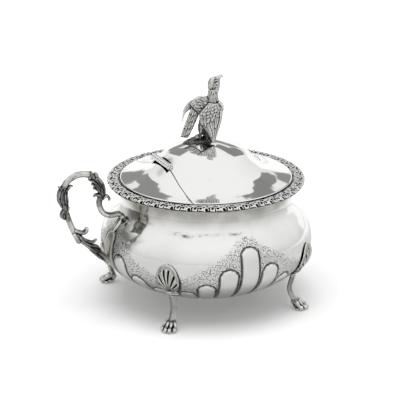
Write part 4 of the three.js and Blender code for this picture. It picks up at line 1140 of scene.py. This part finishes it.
    # tail, legs and the mound
    plate(bm, edge((-1.8, 19, 1), (-1.9, 14, 1.6), (-1.9, 9.5, 1.6), (-2.2, 5, 1.2)),
          edge((3.4, 19, 1), (3.7, 14, 1.6), (3.9, 9.5, 1.6), (4.2, 5, 1.2)),
          lambda s, t: 0.5 * plumage(4 * s, 2.5 * t), 0.9, 0.3, along=40, across=30)
    for w in (-2, 2.2):
        limb([(-2.2, 16.5, w), (-3.3, 12, w), (-3.8, 8, w), (-4.4, 5.4, w)], [2, 1.2, 1, 1.2],
             [1.9, 1.3, 1.1, 1.3])
        for toe in (-1, 0, 1):
            limb([(-4.1, 7.6, w), (-5.7, 7.6, w + 0.9 * toe), (-7.4, 6.4, w + 1.5 * toe)],
                 [0.8, 0.8, 0.4], [0.8, 0.7, 0.4], steps=8, sides=8)
    for u, z, w, radii in ((-3, 4.4, 0, (6.4, 5.2, 3)), (1.6, 4, 0.6, (4.6, 4.6, 2.6)),
                           (-8.6, 3.4, -0.6, (5, 4, 3.2)), (-12, 1.9, 0.2, (3.4, 3, 2.9)),
                           (-3.4, 4, -3, (4.8, 2.8, 2.6)), (-7.4, 3.8, 2.4, (4, 3.2, 2.8)),
                           (0.8, 3.6, -2.6, (2.6, 2.4, 2.4))):
        egg(bm, e(u, z, w), radii)
    mesh = to_mesh(skin(bm, EAGLE_GRID, 1), "eagle")
    co = points_of(mesh)
    dome = np.array(lid_outline(120))
    seat = np.interp(np.hypot(co[:, 0], co[:, 1]), dome[:, 0], dome[:, 1]) + 0.12
    co[:, 2] = np.maximum(co[:, 2], seat)
    set_points(mesh, co)
    mesh.transform(Matrix.Rotation(EAGLE_TURN, 4, "Z"))
    mark_hollows(mesh, 0.22, 8)
    # painted shade: darker on the mound, which is partly oxide, behind the folded wing and on faces
    # turned downwards
    rise = co[:, 2] - EAGLE_ORIGIN_Z
    on_mound = np.hypot(co[:, 0] + 4.5, 1.6 * co[:, 1]) < 12
    mound = 0.62 * onset(rise, 8.6, 7) * on_mound
    between_wings = (np.abs(co[:, 0] + 0.6) < 4.8) & (co[:, 1] > -3.2)
    shade_behind_wing = 0.66 * onset(rise, 22, 15) * between_wings
    downward = -read(mesh.vertices, "normal", 3)[:, 2]
    under = 0.75 * smooth_step(downward / 0.5) * (rise < 30)
    mark(mesh, "patina_and_shade", np.maximum.reduce([mound, shade_behind_wing, under]))
    place_piece("eagle", mesh, BIRD_CAST, "lid", "eagle_finial")


bowl_piece()
border_piece()
liner_piece()
lid_pieces()
hinge_pieces()
leg_pieces()
handle_piece()
eagle_piece()
for name in ("finial_stud", "finial_washer", "finial_nut"):
    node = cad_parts[name]
    node.data.materials.clear()
    node.data.materials.append(POLISHED)


# Studio

VIEW_TURN = math.radians(-24.3)


def white_paper():
    """Matt paper for the table. The camera and the mirrors see it glow a little, more so
    behind the object, and in the mirrors far off too, so that it reaches white."""
    f = finish("white paper")
    light = f.node("ShaderNodeLightPath").outputs
    camera_ray, mirrored = light["Is Camera Ray"], light["Is Glossy Ray"]
    away = (-math.sin(VIEW_TURN), math.cos(VIEW_TURN), 0)
    depth = f.node("ShaderNodeVectorMath", {0: f.place(), 1: away}, operation="DOT_PRODUCT")
    reach = f.node("ShaderNodeVectorMath", {0: f.place()}, operation="LENGTH")
    behind = f.band(depth.outputs["Value"], 0.12, 0.4, 0.0, 0.45)
    far = f.band(reach.outputs["Value"], 0.3, 2.0, 0.0, 0.4)
    seen = f.math("MULTIPLY", f.math("MAXIMUM", camera_ray, mirrored), 0.13)
    edge = f.math("MAXIMUM", f.math("MULTIPLY", far, mirrored), behind)
    glow = f.node("ShaderNodeEmission", {"Strength": f.math("ADD", seen, edge)})
    # reflections see the paper darker than the camera does: painted shade on the floor as the
    # silver reflects it
    f.set(Roughness=0.9, Specular_IOR_Level=0.0,
          Base_Color=f.mix(mirrored, (0.86, 0.86, 0.86, 1), (0.5332, 0.5332, 0.5332, 1)))
    f.surface(f.node("ShaderNodeAddShader", {0: f.shader.outputs[0], 1: glow.outputs[0]}))
    return f.owner


def card(name, az_low, az_high, el_low, el_high, brightness, soft=0.5):
    """A piece of a large sphere that only reflections see: azimuth in degrees to the
    right of straight behind the object, elevation above the table. Its edges fade out
    over soft degrees."""
    reach = 3.0
    bm = bmesh.new()
    arc = [bm.verts.new((reach * math.cos(math.radians(el)), 0, reach * math.sin(math.radians(el))))
           for el in np.linspace(el_low, el_high, 41)]
    edges = [bm.edges.new(pair) for pair in zip(arc, arc[1:])]
    first = math.pi / 2 + VIEW_TURN - math.radians(az_high)
    rotate(bm, arc, first)
    bmesh.ops.spin(bm, geom=arc + edges, cent=(0, 0, 0), axis=(0, 0, 1),
                   angle=math.radians(az_high - az_low), steps=60)
    mesh = to_mesh(bm, name)
    co = points_of(mesh)
    el = np.degrees(np.arcsin(np.clip(co[:, 2] / reach, -1, 1)))
    az = 90 + math.degrees(VIEW_TURN) - np.degrees(np.arctan2(co[:, 1], co[:, 0]))
    az = (az - (az_low + az_high) / 2 + 180) % 360 - 180
    inset = np.minimum((az_high - az_low) / 2 - np.abs(az), np.minimum(el - el_low, el_high - el))
    mark(mesh, "cover", smooth_step(inset / soft))
    f = finish(name)
    f.tree.nodes.remove(f.shader)
    clear = f.node("ShaderNodeBsdfTransparent").outputs[0]
    glow = f.node("ShaderNodeEmission", {"Strength": brightness}).outputs[0]
    f.surface(f.node("ShaderNodeMixShader", {0: f.attribute("cover"), 1: clear, 2: glow}))
    mesh.materials.append(f.owner)
    made = add_object(name, mesh)
    for rays in ("camera", "diffuse", "shadow", "transmission"):
        setattr(made, "visible_" + rays, False)


def look(piece, direction):
    piece.rotation_mode = "QUATERNION"
    piece.rotation_quaternion = direction.to_track_quat("-Z", "Y")


def studio():
    bm = bmesh.new()
    bmesh.ops.create_grid(bm, x_segments=1, y_segments=1, size=6)
    mesh = to_mesh(bm, "floor")
    mesh.materials.append(white_paper())
    add_object("floor", mesh)

    world = bpy.data.worlds.new("studio")
    scene.world = world
    f = Nodes(world)
    f.tree.nodes.clear()

    def light_of(color, strength):
        made = f.node("ShaderNodeBackground", {"Color": color, "Strength": strength})
        return made.outputs[0]

    def blend(share, a, b):
        return f.node("ShaderNodeMixShader", {0: share, 1: a, 2: b}).outputs[0]

    rays = f.node("ShaderNodeLightPath").outputs
    mirrored = f.math("MAXIMUM", rays["Is Glossy Ray"], rays["Is Transmission Ray"])
    upward = f.node("ShaderNodeTexCoord").outputs["Generated"]
    height = f.node("ShaderNodeSeparateXYZ", {"Vector": upward}).outputs["Z"]
    room = f.node("ShaderNodeValToRGB", {"Fac": height})
    ramp = room.color_ramp
    ramp.elements[0].position, ramp.elements[0].color = 0.0, (0.72, 0.72, 0.72, 1)
    ramp.elements[1].position, ramp.elements[1].color = 0.8, (1, 1, 1, 1)
    ramp.elements.new(0.3).color = (0.87, 0.87, 0.87, 1)
    white = (1, 1, 1, 1)
    lit = blend(mirrored, light_of(white, 0.56), light_of(room.outputs[0], 1.0))
    both = blend(rays["Is Camera Ray"], lit, light_of(white, 1.0))
    f.node("ShaderNodeOutputWorld", {"Surface": both})

    card("white sweep", -32, 45, 0, 16, 1.1, soft=2)
    card("grey wall", -20, 17, 16, 26, 0.30)
    card("grey wall left", -27, -9, 31, 45, 0.29)
    card("grey wall left end", -27, -16, 23, 32, 0.31)
    card("grey wall right", 10, 33, 31, 45, 0.26)
    card("grey wall right end", 17, 33, 22, 32, 0.28)
    card("dark side", -102, -40, -15, 44, 0.22, soft=22)

    lamp = bpy.data.lights.new("overhead softbox", "AREA")
    lamp.shape = "SQUARE"
    lamp.size = 1.2
    lamp.energy = 13.5
    softbox = add_object("overhead softbox", lamp)
    softbox.location = (-0.07, -0.21, 1.3)
    look(softbox, Vector((AXIS_X * MM, 0, 0.05)) - softbox.location)
    softbox.visible_glossy = False


def camera():
    turn, rise = VIEW_TURN, math.radians(19.5)
    distance, aim_z, aim_side = 1.452, 0.0677, -0.00396
    right = Vector((math.cos(turn), math.sin(turn), 0))
    level = Vector((math.sin(turn), -math.cos(turn), 0))
    back = level * math.cos(rise) + Vector((0, 0, math.sin(rise)))
    data = bpy.data.cameras.new("camera")
    data.lens = 198
    data.sensor_width = 36
    data.clip_end = 30
    view = add_object("camera", data)
    view.location = Vector((AXIS_X * MM, 0, aim_z)) + right * aim_side + back * distance
    look(view, -back)
    scene.camera = view


studio()
camera()
scene.view_settings.view_transform = "Standard"
